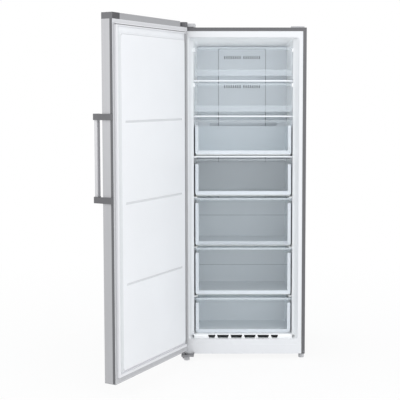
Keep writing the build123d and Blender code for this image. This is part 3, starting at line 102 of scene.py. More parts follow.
class FREEZER_PG_colours(bpy.types.PropertyGroup):
    """Display colours of the freezer's finishes."""
    cabinet: tint("Cabinet paint", "Grey paint of sides and roof", (0.42, 0.42, 0.43))
    door: tint("Door steel", "Brushed front and sides of the door", (0.73, 0.73, 0.74))
    # painted shade: the dark strip stands for the shade at the door's inner edge
    edge: tint("Door edge strip", "Dark strip along the door's inner edge", (0.40, 0.40, 0.41))
    # painted shadow: the dark line along the top of the seal stands for the seal's shadow
    channel: tint("Seal fold", "Shaded fold along the top of the seal", (0.50, 0.50, 0.51))
    white: tint("Liner white", "Inner door and strip at the cabinet's foot", (0.95, 0.955, 0.965))
    # painted light: the tub's walls behind the flange are whiter than the same liner's front, to lift them out of
    # their shade
    tub: tint("Tub white", "Walls of the inner tub and the raised floor", (0.98, 0.985, 0.99))
    wall_shade: tint("Wall shade", "Side of the tub next to the hinge", (0.90, 0.91, 0.92))
    trim: tint("Shelf trim", "White strip on a shelf's front", (0.91, 0.925, 0.94))
    rim: tint("Door rim", "Flat rim of the inner door", (0.76, 0.76, 0.77))
    # painted light: the rim above the seal is lighter, as if lit from above
    rim_top: tint("Rim top", "Rim above the seal", (0.85, 0.85, 0.86))
    seal: tint("Seal", "Soft magnetic seal", (0.93, 0.93, 0.94))
    seal_shade: tint("Seal shade", "Seal along the hinge side", (0.70, 0.70, 0.71))
    pad_shade: tint("Pad line", "Grooves and upper edge of the inner door", (0.865, 0.87, 0.88))
    # painted shade on the inner door's slope next to the handle
    pad_side: tint("Pad side", "Side of the inner door next to the handle", (0.89, 0.90, 0.905))
    floor_shade: tint("Floor shade", "What the return grille opens to", (0.42, 0.44, 0.46))
    panel: tint("Rear panel", "Blue-grey panels on the rear wall", (0.85, 0.875, 0.90))
    bracket: tint("Brackets", "Handle brackets and top hinge", (0.41, 0.41, 0.42))
    hinge: tint("Lower hinge", "Plate of the lower hinge", (0.58, 0.58, 0.59))
    grip: tint("Grip", "Handle bar", (0.80, 0.80, 0.81))
    cap: tint("Caps", "Light grey caps", (0.645, 0.645, 0.655))
    cover: tint("Covers and feet", "Hinge covers and levelling feet", (0.82, 0.82, 0.83))
    plug: tint("Plug", "Dark plug in the door's corner", (0.30, 0.30, 0.31))
    # painted light: the plug's outer side is lighter, as it faces the light
    plug_side: tint("Plug side", "Outer side of the plug", (0.43, 0.43, 0.44))
    # painted shadow: a dark ring round the air duct's cover
    duct_edge: tint("Duct edge", "Shadow gap round the air duct", (0.55, 0.58, 0.61))
    duct_shade: tint("Duct shade", "Dark inside of the air duct", (0.20, 0.22, 0.24))
    line: tint("Front line", "Moulded line across the tall drawers' fronts", (0.50, 0.54, 0.57))
    bin_inside: tint("Bin", "Grey-blue body of the drawers", (0.86, 0.895, 0.92))
    # painted light: the drawers' floors turn lighter towards the front, where light comes in
    bin_floor: tint("Bin floor", "Floor of the drawers near the front", (1.0, 1.0, 1.0))
    bin_frame: tint("Bin frame", "White frame round each drawer front", (0.88, 0.90, 0.92))
    clear: tint("Clear plastic", "Drawer fronts and flaps", (0.88, 0.915, 0.94))
    glass: tint("Glass", "Shelf plates", (0.90, 0.96, 0.95))
    sheet: tint("Rear sheet", "Back of the cabinet", (0.66, 0.67, 0.68))
    zinc: tint("Zinc", "Galvanised base", (0.66, 0.67, 0.68))
    zinc_dark: tint("Dark zinc", "Darker crystals of the zinc", (0.5676, 0.5762, 0.5848))
    enamel: tint("Enamel", "Compressor", (0.09, 0.09, 0.10))
    rubber: tint("Rubber", "Compressor feet", (0.10, 0.10, 0.10))
    black: tint("Black plastic", "Tray, socket, rollers and motor", (0.13, 0.13, 0.14))
    # painted shade: dark bars in place of the shaded recess of a driver slot
    slot: tint("Driver slot", "Slots in the screw heads", (0.16, 0.16, 0.17))
    foam: tint("Foam", "Rigid insulation", (0.88, 0.83, 0.66))
    copper: tint("Copper", "Pipe stubs on the compressor", (0.85, 0.52, 0.37))
    tarnish: tint("Tarnish", "Darker clouds on the copper", (0.66, 0.40, 0.30))
    tube: tint("Steel tube", "Pipe loop of the machine compartment", (0.62, 0.62, 0.63))
    aluminium: tint("Aluminium", "Evaporator", (0.83, 0.84, 0.85))


class FREEZER_PG_sizes(bpy.types.PropertyGroup):
    """Sizes of the pieces that are added round the fixed frame."""
    seal_width: length("Seal width", "Width of the soft seal", 14.0)
    bead_height: length("Seal bead", "Height of the magnet bead of the seal", 5.0)
    fold_depth: length("Seal fold", "Depth of the bellows folds in the seal", 1.8)
    # width of the painted shade strip on the door's edge
    strip_width: length("Edge strip", "Width of the dark strip on the door's edge", 14.5)
    front_sheet: length("Front sheet", "Thickness of a drawer's clear front", 3.3)
    line_rise: length("Front line", "Moulded line over the lower edge of a tall front", 168.0)
    line_height: length("Line height", "Height of the moulded line", 2.4)
    line_depth: length("Line depth", "How far the moulded line stands out", 0.9)
    line_inset: length("Line inset", "Moulded line in from the front's sides", 20.0)
    sheet_screw: length("Sheet screw", "Radius of a screw head in the sheet", 3.6)
    hinge_screw: length("Hinge screw", "Radius of a screw head under the hinge", 4.5)
    rib_width: length("Rear rib", "Width of a pressed rib in the back sheet", 30.0)
    rib_height: length("Rear rib height", "Height of a pressed rib in the back sheet", 4.5)
    stub_radius: length("Pipe stub", "Radius of the compressor's pipe stubs", 3.2)
    blade_sheet: length("Fan blade", "Thickness of a fan blade", 1.6)
    blades: IntProperty(name="Fan blades", description="Number of fan blades", default=7, min=3)
    twist: FloatProperty(name="Blade twist", description="Turn of a blade from hub to tip",
                         default=math.radians(18.0), subtype="ANGLE", unit="ROTATION")


class FREEZER_PG_stage(bpy.types.PropertyGroup):
    """Floor and light of the stage."""
    key: power("Key light", "Power of the large front light", 41.0)
    fill: power("Fill light", "Power of the side light", 20.0)
    inside: power("Inside light", "Power of the light in the opening", 0.7)
    ceiling: power("Ceiling light", "Power of the light at the ceiling", 0.17)
    sky: FloatProperty(name="Surround", description="Strength of the white surround",
                       default=0.92, min=0.0)
    floor_glow: FloatProperty(name="Floor glow", description="Share of plain white in the floor",
                              default=0.90, min=0.0, max=1.0)
    floor: length("Floor", "Side of the floor square", 24000.0)


# ---------- surfaces from numpy
def mesh_piece(name, points, faces, material, crease=35.0):
    """A mesh from an (N, 3) array and a list of faces, smooth below the crease angle."""
    mesh = bpy.data.meshes.new(name)
    mesh.from_pydata(np.asarray(points, np.float32).tolist(), [], faces)
    mesh.validate()
    mesh.polygons.foreach_set("use_smooth", np.ones(len(mesh.polygons), dtype=bool))
    mesh.set_sharp_from_angle(angle=math.radians(crease))
    mesh.update()
    piece = bpy.data.objects.new(name, mesh)
    bpy.context.scene.collection.objects.link(piece)
    mesh.materials.append(material)
    return piece


def add(name, shape, finish_name, body, crease=35.0, stands_for=None):
    """A closed piece from (points, faces): its doubles are merged, its faces turned outwards,
    and it gets its finish, body and slot, and the node that it stands for."""
    piece = mesh_piece(name, *shape, MATERIALS[finish_name], crease)
    work = bmesh.new()
    work.from_mesh(piece.data)
    bmesh.ops.remove_doubles(work, verts=work.verts, dist=0.001 * MM)
    bmesh.ops.recalc_face_normals(work, faces=work.faces)
    work.to_mesh(piece.data)
    work.free()
    piece.data.update()
    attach(piece, body)
    if stands_for:
        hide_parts(stands_for)


def grid_faces(rows, columns, closed_rows=False, closed_columns=False):
    """Quads of a rows by columns grid; a closed way joins its last line to its first."""
    row, column = np.meshgrid(np.arange(rows - (not closed_rows)),
                              np.arange(columns - (not closed_columns)), indexing="ij")
    below, right = (row + 1) % rows, (column + 1) % columns
    corners = [a * columns + b for a, b in ((row, column), (row, right), (below, right),
                                            (below, column))]
    return np.stack(corners, -1).reshape(-1, 4).tolist()


def tube(rings, closed=False):
    """A skin over an (N, M, 3) array of rings: the last ring joins the first, or both ends are
    capped."""
    rows, columns = rings.shape[:2]
    faces = grid_faces(rows, columns, closed, True)
    if not closed:
        last = (rows - 1) * columns
        faces += [list(range(columns))[::-1], list(range(last, last + columns))]
    return rings.reshape(-1, 3), faces


def layered(front, back):
    """A closed sheet from two (N, M, 3) layers, joined by a wall along their edge."""
    rows, columns = front.shape[:2]
    layer = rows * columns
    quads = grid_faces(rows, columns)
    index = np.arange(layer).reshape(rows, columns)
    edge = np.concatenate([index[:, 0], index[-1, 1:], index[-2::-1, -1],
                           index[0, -2:0:-1]]).tolist()
    wall = [(a, b, b + layer, a + layer) for a, b in zip(edge, edge[1:] + edge[:1])]
    faces = quads + [[i + layer for i in reversed(quad)] for quad in quads] + wall
    return np.concatenate([front, back]).reshape(-1, 3), faces


def join(shapes):
    """One (points, faces) pair from several."""
    points, faces, start = [], [], 0
    for some_points, some_faces in shapes:
        points.append(some_points)
        faces += [[i + start for i in face] for face in some_faces]
        start += len(some_points)
    return np.concatenate(points), faces


def square_to(axis):
    """Two unit directions that are square to a unit axis and to each other."""
    helper = (0.0, 0.0, 1.0) if abs(axis[Z]) < 0.9 else (1.0, 0.0, 0.0)
    side = np.cross(axis, helper)
    side /= np.linalg.norm(side)
    return side, np.cross(axis, side)


def round_ring(steps):
    """Cosines and sines of evenly spread angles, as two columns."""
    angle = np.linspace(0, 2 * np.pi, steps, endpoint=False)[:, None]
    return np.cos(angle), np.sin(angle)


def lathe(profile, centre, axis, steps):
    """A (radius, height) profile turned round an axis: each ring is radius times cosine and
    sine of the angle along two directions square to the axis, plus height along it."""
    across, up = square_to(axis)
    cosine, sine = round_ring(steps)
    radius, height = np.array(profile, float).T[:, :, None, None]
    return tube(np.array(centre) + radius * (cosine * across + sine * up)
                + height * np.array(axis, float))


def pipe(radius, path, steps=14):
    """A round pipe along a path: at each point a circle, radius times cosine and sine of the
    angle, along two directions square to the path that turn as little as can be."""
    step = np.diff(path, axis=0)
    step /= np.linalg.norm(step, axis=1)[:, None]
    ahead = np.concatenate([step[:1], step[:-1] + step[1:], step[-1:]])
    ahead /= np.linalg.norm(ahead, axis=1)[:, None]
    side = square_to(ahead[0])[0]
    cosine, sine = round_ring(steps)
    rings = []
    for place, way in zip(path, ahead):
        side = side - way * side.dot(way)
        side /= np.linalg.norm(side)
        rings.append(place + radius * (cosine * side + sine * np.cross(way, side)))
    return tube(np.array(rings))


def rounded_path(corners, radius, steps=7):
    """A path with each inner corner replaced by a quadratic curve that starts and ends one
    radius from the corner: (1-t)^2 a + 2 t (1-t) corner + t^2 b."""
    corners = np.array(corners, float)
    t = np.linspace(0, 1, steps)[:, None]
    points = [corners[:1]]
    for before, corner, after in zip(corners, corners[1:], corners[2:]):
        a, b = (corner + (end - corner) / np.linalg.norm(end - corner) * radius
                for end in (before, after))
        points.append((1 - t) ** 2 * a + 2 * t * (1 - t) * corner + t ** 2 * b)
    points.append(corners[-1:])
    return np.concatenate(points)


def swing(points, turn=DOOR_OPEN):
    """Turns points about the door's pivot: x' = x cos a - y sin a and y' = x sin a + y cos a
    of the offset from the pivot. Drawn closed, they land where the open door is."""
    points = np.array(points, float)
    x, y = np.moveaxis(points[..., :2] - DOOR_PIVOT, -1, 0)
    c, s = math.cos(turn), math.sin(turn)
    points[..., X] = x * c - y * s + DOOR_PIVOT[X]
    points[..., Y] = x * s + y * c + DOOR_PIVOT[Y]
    return points


def closed_box(node):
    """Lowest and highest corner of a door node once the door is swung shut."""
    vertices = NODES[node].data.vertices
    points = np.empty((len(vertices), 3), np.float32)
    vertices.foreach_get("co", points.ravel())
    points = swing(points, -DOOR_OPEN)
    return points.min(0), points.max(0)


def mitred(section, low, high, foot=1.0, head=1.0):
    """A section of (inset, Y) points carried round an upright frame between two corners of the
    closed door, mitred at all four and swung open. X moves in from a corner by the inset, and Z
    by foot or head times the inset."""
    corners = np.array([(low[X], low[Z], 1, foot), (high[X], low[Z], -1, foot),
                        (high[X], high[Z], -1, -head), (low[X], high[Z], 1, -head)])
    inset, depth = section.T
    x = corners[:, :1] + corners[:, 2:3] * inset
    z = corners[:, 1:2] + corners[:, 3:] * inset
    return tube(swing(np.stack([x, np.broadcast_to(depth, x.shape), z], -1)), closed=True)


def quarter_round(radius, height, start=0.0, ends=(0, -1)):
    """Points of a quarter ellipse, (radius times cosine, start plus height times sine) of six
    even angles, between the given ends of that list."""
    angles = np.linspace(0, QUARTER, 6)[slice(*ends)]
    return [(radius * math.cos(a), start + height * math.sin(a)) for a in angles]


def screw_head(radius):
    """Pan head: a low dome over a short rim, as (radius, height) pairs."""
    return [(0.55 * radius, -0.5 * radius), (radius, 0.0),
            *quarter_round(radius, 0.35 * radius, 0.25 * radius), (0.12 * radius, 0.61 * radius)]


def cross_slot(centre, axis, radius):
    """Two crossed dark bars, just above the head, that are painted shade for the driver slot's recess."""
    sides = square_to(axis)
    bar = np.array([(-0.5, -0.11), (0.5, -0.11), (0.5, 0.11), (-0.5, 0.11)])
    levels = np.array([0.3, 0.66])[:, None, None] * np.array(axis, float)
    return join(tube(np.array(centre) + radius * (bar @ np.array(way) + levels))
                for way in (sides, sides[::-1]))


def screws(name, places, axis, radius):
    """Pan head screws at the given places of the cabinet, with their driver slots."""
    heads = join(lathe(screw_head(radius), place, axis, 20) for place in places)
    add(name, heads, "zinc_screw", "cabinet", crease=50)
    # painted shade: dark bars for the shaded recess of each slot
    slots = join(cross_slot(place, axis, radius) for place in places)
    add(name + "_slots", slots, "slot_dark", "cabinet")


# ---------- shader nodes and groups
GROUPS = {}
MATERIALS = {}
FLOAT, VECTOR, COLOUR = "NodeSocketFloat", "NodeSocketVector", "NodeSocketColor"


def linear(colour):
    """Scene-linear value of a display colour."""
    values = np.array(colour, float)
    low, high = values / 12.92, ((values + 0.055) / 1.055) ** 2.4
    return tuple(np.where(values <= 0.04045, low, high)) + (1.0,)


def feed(tree, socket, value):
    """Links a socket to a source, or gives it a value."""
    if isinstance(value, bpy.types.NodeSocket):
        tree.links.new(socket, value)
    else:
        socket.default_value = value


def put(tree, kind, *fed, **named):
    """A node whose settings and inputs are given by name, or its first inputs in order."""
    node = tree.nodes.new(kind)
    for key, value in named.items():
        if hasattr(node, key):
            setattr(node, key, value)
        else:
            feed(tree, node.inputs[key.replace("_", " ")], value)
    for socket, value in zip(node.inputs, fed):
        feed(tree, socket, value)
    return node


def ramp(tree, source, low, high, start=0.0, end=1.0):
    """Source mapped from low..high onto start..end, held at both ends."""
    return put(tree, "ShaderNodeMapRange", source, low, high, start, end).outputs["Result"]


def mix_colour(tree, factor, first, second):
    """Colour mix; factor, first and second are sockets or values."""
    node = put(tree, "ShaderNodeMix", data_type="RGBA")
    for index, value in ((0, factor), (6, first), (7, second)):
        feed(tree, node.inputs[index], value)
    return node.outputs[2]


def calculate(tree, operation, first, second):
    """Result of a Math node on two sockets or values."""
    return put(tree, "ShaderNodeMath", first, second, operation=operation).outputs[0]


def noise(tree, vector, scale, detail):
    """Height of a cloudy noise."""
    return put(tree, "ShaderNodeTexNoise", Vector=vector, Scale=scale, Detail=detail).outputs["Fac"]


def fine_grain(tree, given):
    """Fine noise for the relief, and a broad noise as the mask."""
    place = given["Vector"]
    return noise(tree, place, given["Scale"], 3.0), noise(tree, place, 14.0, 4.0)


def cloud_tint(tree, given):
    """Two colours that change over in broad clouds."""
    mask = ramp(tree, noise(tree, given["Vector"], given["Scale"], 5.0), 0.35, 0.65)
    return mix_colour(tree, mask, given["Color A"], given["Color B"]), mask


def brushing(tree, given):
    """Streaks: noise on coordinates times a vector that is small along the streaks."""
    place = put(tree, "ShaderNodeVectorMath", given["Vector"], given["Along"],
                operation="MULTIPLY").outputs[0]
    streaks = noise(tree, place, 1.0, 3.0)
    return streaks, ramp(tree, streaks, 0.3, 0.7)


def cells(tree, given):
    """Crystals: the distance from each cell's middle, and a shade for each cell."""
    cell = put(tree, "ShaderNodeTexVoronoi", Vector=given["Vector"], Scale=given["Scale"])
    shade = put(tree, "ShaderNodeSeparateColor", cell.outputs["Color"])
    return cell.outputs["Distance"], shade.outputs[0]


def settled_dust(tree, given):
    """Dust in patches on what faces up."""
    normal = put(tree, "ShaderNodeNewGeometry").outputs["Normal"]
    upward = ramp(tree, put(tree, "ShaderNodeSeparateXYZ", normal).outputs["Z"], 0.3, 1.0)
    patches = ramp(tree, noise(tree, given["Vector"], 30.0, 6.0), 0.35, 0.7)
    mask = calculate(tree, "MULTIPLY", calculate(tree, "MULTIPLY", upward, patches),
                     given["Amount"])
    return mix_colour(tree, mask, given["Color"], given["Dust Color"]), mask


# Each effect, what it puts out beside its mask, and its inputs beside the place.
EFFECTS = (
    (fine_grain, "Height", ("Scale", FLOAT, 900.0)),
    (cloud_tint, "Color", ("Scale", FLOAT, 3.0), ("Color A", COLOUR, None),
     ("Color B", COLOUR, None)),
    (brushing, "Height", ("Along", VECTOR, (700, 700, 2))),
    (cells, "Height", ("Scale", FLOAT, 60.0)),
    (settled_dust, "Color", ("Color", COLOUR, None),
     ("Dust Color", COLOUR, (0.5, 0.48, 0.45, 1)), ("Amount", FLOAT, 0.2)),
)


def make_groups():
    """One node group for each effect that the finishes share."""
    for effect, shown, *inputs in EFFECTS:
        name = effect.__name__
        tree = GROUPS[name] = bpy.data.node_groups.new(name, "ShaderNodeTree")
        for label, kind, default in (("Vector", VECTOR, None), *inputs):
            socket = tree.interface.new_socket(label, in_out="INPUT", socket_type=kind)
            if default is not None:
                socket.default_value = default
        for label in (shown, "Mask"):
            tree.interface.new_socket(label, in_out="OUTPUT",
                                      socket_type=COLOUR if label == "Color" else FLOAT)
        given = tree.nodes.new("NodeGroupInput").outputs
        put(tree, "NodeGroupOutput", *effect(tree, given))


def use(tree, effect, place, **values):
    """Places a shared effect in a material."""
    return put(tree, "ShaderNodeGroup", node_tree=GROUPS[effect], Vector=place, **values).outputs


# ---------- colour and alpha by place
SOFT_EDGE = 0.5 * MM         # width of the change at a shade's limit
DOOR_EDGE = 0.3 * MM         # the same on the door
WALL_EDGE = 8 * MM           # the same on the tub's wall next to the hinge
# behind this depth the tub takes the whiter tub colour, which is painted light
FLANGE_DEPTH = 6 * MM        # the tub keeps the liner's white this far behind the foot strip
FRAME_LIP = 3.2 * MM         # frame of a bin behind the middle of its seat
FLOOR_DEPTH = 14 * MM        # what counts as a bin's floor
GRILLE_SIDE = 60 * MM        # part of the raised floor at each side that nothing darkens
GRILLE_WALL = (3.5 * MM, 2.5 * MM)           # walls of the raised floor, its riser and its top
# painted shade round the air duct: a ring this wide outside the cover's outline, and the dark inside from this far
# within it
DUCT_SHADE_RING, DUCT_WALL = 5 * MM, 2 * MM
# depths of the painted light on the rim's top and on the plug's side, and of the painted shade on the seal's hinge
# side
RIM_TOP_DEPTH, SEAL_SIDE, PLUG_SIDE = 19 * MM, 15 * MM, 1.5 * MM
# depths of painted shade: the pad's grooves and upper edge, the pad's slope next to the handle, and the line along
# the seal's top
PAD_LINE, PAD_SIDE_SHADE, SEAL_TOP_SHADE = (0.5 * MM, 5 * MM), (31 * MM, 50 * MM), (4 * MM, 9 * MM)
FLAP_GRIP, FLAP_HEAD, FLAP_SIDE, FRONT_LIP = 34 * MM, 12 * MM, 9 * MM, 16 * MM
CLEAR_ALPHA, MILKY_ALPHA = 0.12, 0.28


def within(tree, place, limits, soft=SOFT_EDGE):
    """Mask that is 1 between the given limits along X, Y and Z, where None is open, and that
    rises over a soft width inside each limit."""
    axes = put(tree, "ShaderNodeSeparateXYZ", place).outputs
    inside = None
    for axis, ends in limits.items():
        for edge, way in zip(ends, (1, -1)):
            if edge is not None:
                step = ramp(tree, axes[axis], edge, edge + way * soft)
                inside = step if inside is None else calculate(tree, "MULTIPLY", inside, step)
    return inside


def shade_within(*regions):
    """Colour by place: each region is a colour, its limits and perhaps a soft width. What lies
    within the limits takes the colour, and all the rest keeps its own."""
    def shape(tree, place, shown):
        for colour, *region in regions:
            shown = mix_colour(tree, within(tree, place, *region), shown, linear(colour))
        return shown
    return shape


def bin_shading(node, inside, floor, frame_back):
    """Colour of a drawer's bin: its front frame keeps the given colour, all behind it takes the
    inside colour, which holds the drawer's painted shade, and its floor grows lighter from the middle towards the
    front as painted light."""
    low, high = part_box(node)

    def shape(tree, place, shown):
        shown = shade_within((inside, {"Y": (frame_back, None)}))(tree, place, shown)
        # painted light on the floor, stronger towards the front
        level = within(tree, place, {"Z": (None, low.z + FLOOR_DEPTH), "Y": (frame_back, None)})
        axes = put(tree, "ShaderNodeSeparateXYZ", place).outputs
        ahead = ramp(tree, axes["Y"], (low.y + high.y) / 2, low.y)
        return mix_colour(tree, calculate(tree, "MULTIPLY", level, ahead), shown, linear(floor))
    return shape


def outline_of(node, wall):
    """Limits along X and Z that lie a wall's width inside a node's outline."""
    low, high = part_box(node)
    return {"X": (low.x + wall, high.x - wall), "Z": (low.z + wall, high.z - wall)}


def milky_bands(bands):
    """Alpha by place: clear plastic that turns milky where it is folded or doubled. Each band
    is the limits of such a place."""
    def shape(tree, place):
        thick = within(tree, place, bands[0])
        for limits in bands[1:]:
            thick = calculate(tree, "MAXIMUM", thick, within(tree, place, limits))
        return ramp(tree, thick, 0.0, 1.0, CLEAR_ALPHA, MILKY_ALPHA)
    return shape


def door_bands(node, *bands):
    """Colour by place on a piece of the open door. Each band is a colour, a side of the node as
    it lies once shut, named by its axis and way, and the least and greatest depth under that
    side. The depth is the side's level less the dot product of the place with the side's turned
    direction."""
    low, high = closed_box(node)

    def shape(tree, place, shown):
        for colour, axis, way, near, far in bands:
            corner = high if way > 0 else low
            foot, tip = swing([corner, corner + way * np.eye(3)[axis]])
            level = float(foot.dot(tip - foot))
            along = put(tree, "ShaderNodeVectorMath", place, tip - foot,
                        operation="DOT_PRODUCT").outputs["Value"]
            inner = ramp(tree, along, level - far, level - far + DOOR_EDGE)
            outer = ramp(tree, along, level - near, level - near - DOOR_EDGE)
            shown = mix_colour(tree, calculate(tree, "MULTIPLY", inner, outer), shown,
                               linear(colour))
        return shown
    return shape


# ---------- finishes
SECOND_SHARE = 0.985         # the second colour of a cloud as a share of the first
STREAK_SHARE = 0.90          # a brushed streak's colour as a share of the steel's own
STREAK_MIX = 0.5             # the most of that colour which shows
CLOUD_SCALE = 2.2
MASK_RANGE = (0.3, 0.7)      # mask of a relief between its smoothest and roughest place
# painted shade: each drawer's share of the inside colour, lower for the drawers that lie in more shade
BIN_SHADE_SHARES = {1: 1.0, 2: 0.88, 3: 0.93, 4: 0.93, 5: 0.97}      # share of the inside colour
WHITE = ((0.30, 0.34), 1800, 0.008, dict(IOR=1.5))
PANEL = ((0.34, 0.40), 1800, 0.01, {})
BRACKET = ((0.36, 0.46), 1500, 0.06, dict(metallic=0.3))
BRUSHED = dict(relief="brushing", depth=0.2 * MM)

# Each finish: its colour, least and greatest roughness, scale and strength of its relief, and
# what else it has.
FINISHES = {
    "cabinet_paint": ("cabinet", (0.34, 0.42), 1400, 0.05, dict(metallic=0.25, dust=0.05)),
    "door_steel": ("door", (0.34, 0.40), (1400, 1400, 3), 0.02, dict(metallic=0.35, **BRUSHED)),
    "bar_steel": ("grip", (0.30, 0.38), (1600, 1600, 4), 0.02, dict(metallic=0.5, **BRUSHED)),
    "liner_white": ("white", *WHITE),
    "trim_white": ("trim", *WHITE),
    "tub_white": ("white", *WHITE),
    "door_white": ("white", *WHITE),
    "rim_grey": ("rim", (0.34, 0.38), 1800, 0.01, {}),
    "panel_grey": ("panel", *PANEL),
    "panel_and_duct_shade": ("panel", *PANEL),
    "seal_soft": ("seal", (0.45, 0.6), 1200, 0.05, {}),
    "bracket_grey": ("bracket", *BRACKET),
    "hinge_grey": ("hinge", *BRACKET),
    "cap_grey": ("cap", (0.38, 0.5), 1500, 0.08, {}),
    "plug_dark": ("plug", (0.4, 0.52), 1500, 0.03, {}),
    "line_grey": ("line", (0.3, 0.4), 1800, 0.02, {}),
    "edge_dark": ("edge", (0.4, 0.5), 1500, 0.05, {}),
    "cover_grey": ("cover", (0.38, 0.48), 1500, 0.03, {}),
    "clear_plastic_sheet": ("clear", (0.12, 0.16), 1800, 0.004, dict(IOR=1.45)),
    "shelf_glass_plate": ("glass", (0.02, 0.05), 40, 0.005, dict(Alpha=0.14, IOR=1.45)),
    "rear_paint": ("sheet", (0.4, 0.55), 1200, 0.05, dict(metallic=0.3, relief="cells", dust=0.2)),
    "zinc_sheet": ("zinc", (0.3, 0.5), 90, 0.02,
                   dict(second="zinc_dark", metallic=0.8, relief="cells", dust=0.25)),
    "zinc_screw": ("zinc", (0.25, 0.4), 2000, 0.02, dict(metallic=0.9)),
    "slot_dark": ("slot", (0.5, 0.6), 900, 0.02, {}),
    "black_enamel_coat": ("enamel", (0.22, 0.34), 500, 0.08, dict(dust=0.3, Coat_Weight=0.3)),
    "rubber_black": ("rubber", (0.6, 0.75), 1500, 0.15, {}),
    "plastic_black": ("black", (0.42, 0.55), 1800, 0.12, dict(dust=0.12)),
    "foam_cream": ("foam", (0.8, 0.95), 420, 0.6, dict(relief="cells", depth=MM)),
    "coil_metal": ("aluminium", (0.3, 0.45), 900, 0.05, dict(metallic=0.85)),
    "pipe_metal": ("copper", (0.25, 0.4), 900, 0.04, dict(second="tarnish", metallic=0.9)),
    "steel_tube": ("tube", (0.3, 0.45), 900, 0.02, dict(metallic=0.85)),
    **{f"bin_plastic_{number}": ("bin_frame", (0.32, 0.38), 1800, 0.01, {}) for number in BIN_SHADE_SHARES},
}

SLOT_FINISH = {
    "cabinet_grey_paint": "cabinet_paint", "stainless_front": "door_steel",
    "white_liner": "liner_white", "grey_inner_panel": "panel_grey",
    "white_rubber": "seal_soft", "dark_grey_metal": "bracket_grey",
    "light_grey_plastic": "cap_grey", "dark_grey_plastic": "plug_dark",
    "white_drawer_plastic": "bin_plastic_1", "clear_plastic": "clear_plastic_sheet",
    "shelf_glass": "shelf_glass_plate", "rear_sheet": "rear_paint",
    "galvanised_sheet": "zinc_sheet", "black_enamel": "black_enamel_coat",
    "black_rubber": "rubber_black", "black_plastic": "plastic_black",
    "insulation_foam": "foam_cream", "coil_aluminium": "coil_metal", "steel_pipe": "steel_tube",
}
NODE_FINISH = {
    "handle_bar": "bar_steel", "evaporator_cover": "panel_and_duct_shade",
    "inner_liner": "tub_white", "base_air_grille": "tub_white", "door_liner": "door_white",
    "bottom_hinge": "hinge_grey", "top_hinge_cover": "cover_grey",
    "hinge_hole_cover": "cover_grey", "foot_left": "cover_grey", "foot_right": "cover_grey",
    **{f"drawer_{number}_bin": f"bin_plastic_{number}" for number in BIN_SHADE_SHARES},
    **{f"shelf_trim_{number}": "trim_white" for number in (1, 2, 3)},
}


def finish(name, colour, rough, scale, bump, second=None, metallic=0.0, relief="fine_grain",
           depth=0.4 * MM, dust=0.0, shaping=None, alpha=None, **plain):
    """A material: a clouded colour, an optional thin dust, a roughness that follows the relief
    and a bump of its height. colour and second are names in the settings. shaping changes the
    colour by place and alpha gives the alpha by place. plain holds values that are the same all
    over the surface. A brushed relief has a scale for each axis."""
    colours = bpy.context.scene.freezer_colours
    colour = getattr(colours, colour)
    other = getattr(colours, second) if second else [value * SECOND_SHARE for value in colour]
    material = MATERIALS[name] = bpy.data.materials.new(name)
    material.use_nodes = True
    tree = material.node_tree
    shader = tree.nodes["Principled BSDF"]
    place = put(tree, "ShaderNodeTexCoord").outputs["Object"]
    shown = use(tree, "cloud_tint", place, Scale=CLOUD_SCALE, Color_A=linear(colour),
                Color_B=linear(other))["Color"]
    if shaping:
        shown = shaping(tree, place, shown)
    if dust:
        shown = use(tree, "settled_dust", place, Color=shown, Amount=dust)["Color"]
    if alpha:
        feed(tree, shader.inputs["Alpha"], alpha(tree, place))
    if relief == "brushing":
        surface = use(tree, relief, place, Along=scale)
        streak = ramp(tree, surface["Mask"], 0.0, 1.0, 0.0, STREAK_MIX)
        shown = mix_colour(tree, streak, shown, linear([v * STREAK_SHARE for v in colour]))
    else:
        surface = use(tree, relief, place, Scale=scale)
    raised = put(tree, "ShaderNodeBump", Height=surface["Height"], Strength=bump, Distance=depth)
    roughness = ramp(tree, surface["Mask"], *MASK_RANGE, *rough)
    for key, value in dict(Base_Color=shown, Roughness=roughness, Normal=raised.outputs["Normal"],
                           Metallic=metallic, **plain).items():
        feed(tree, shader.inputs[key.replace("_", " ")], value)


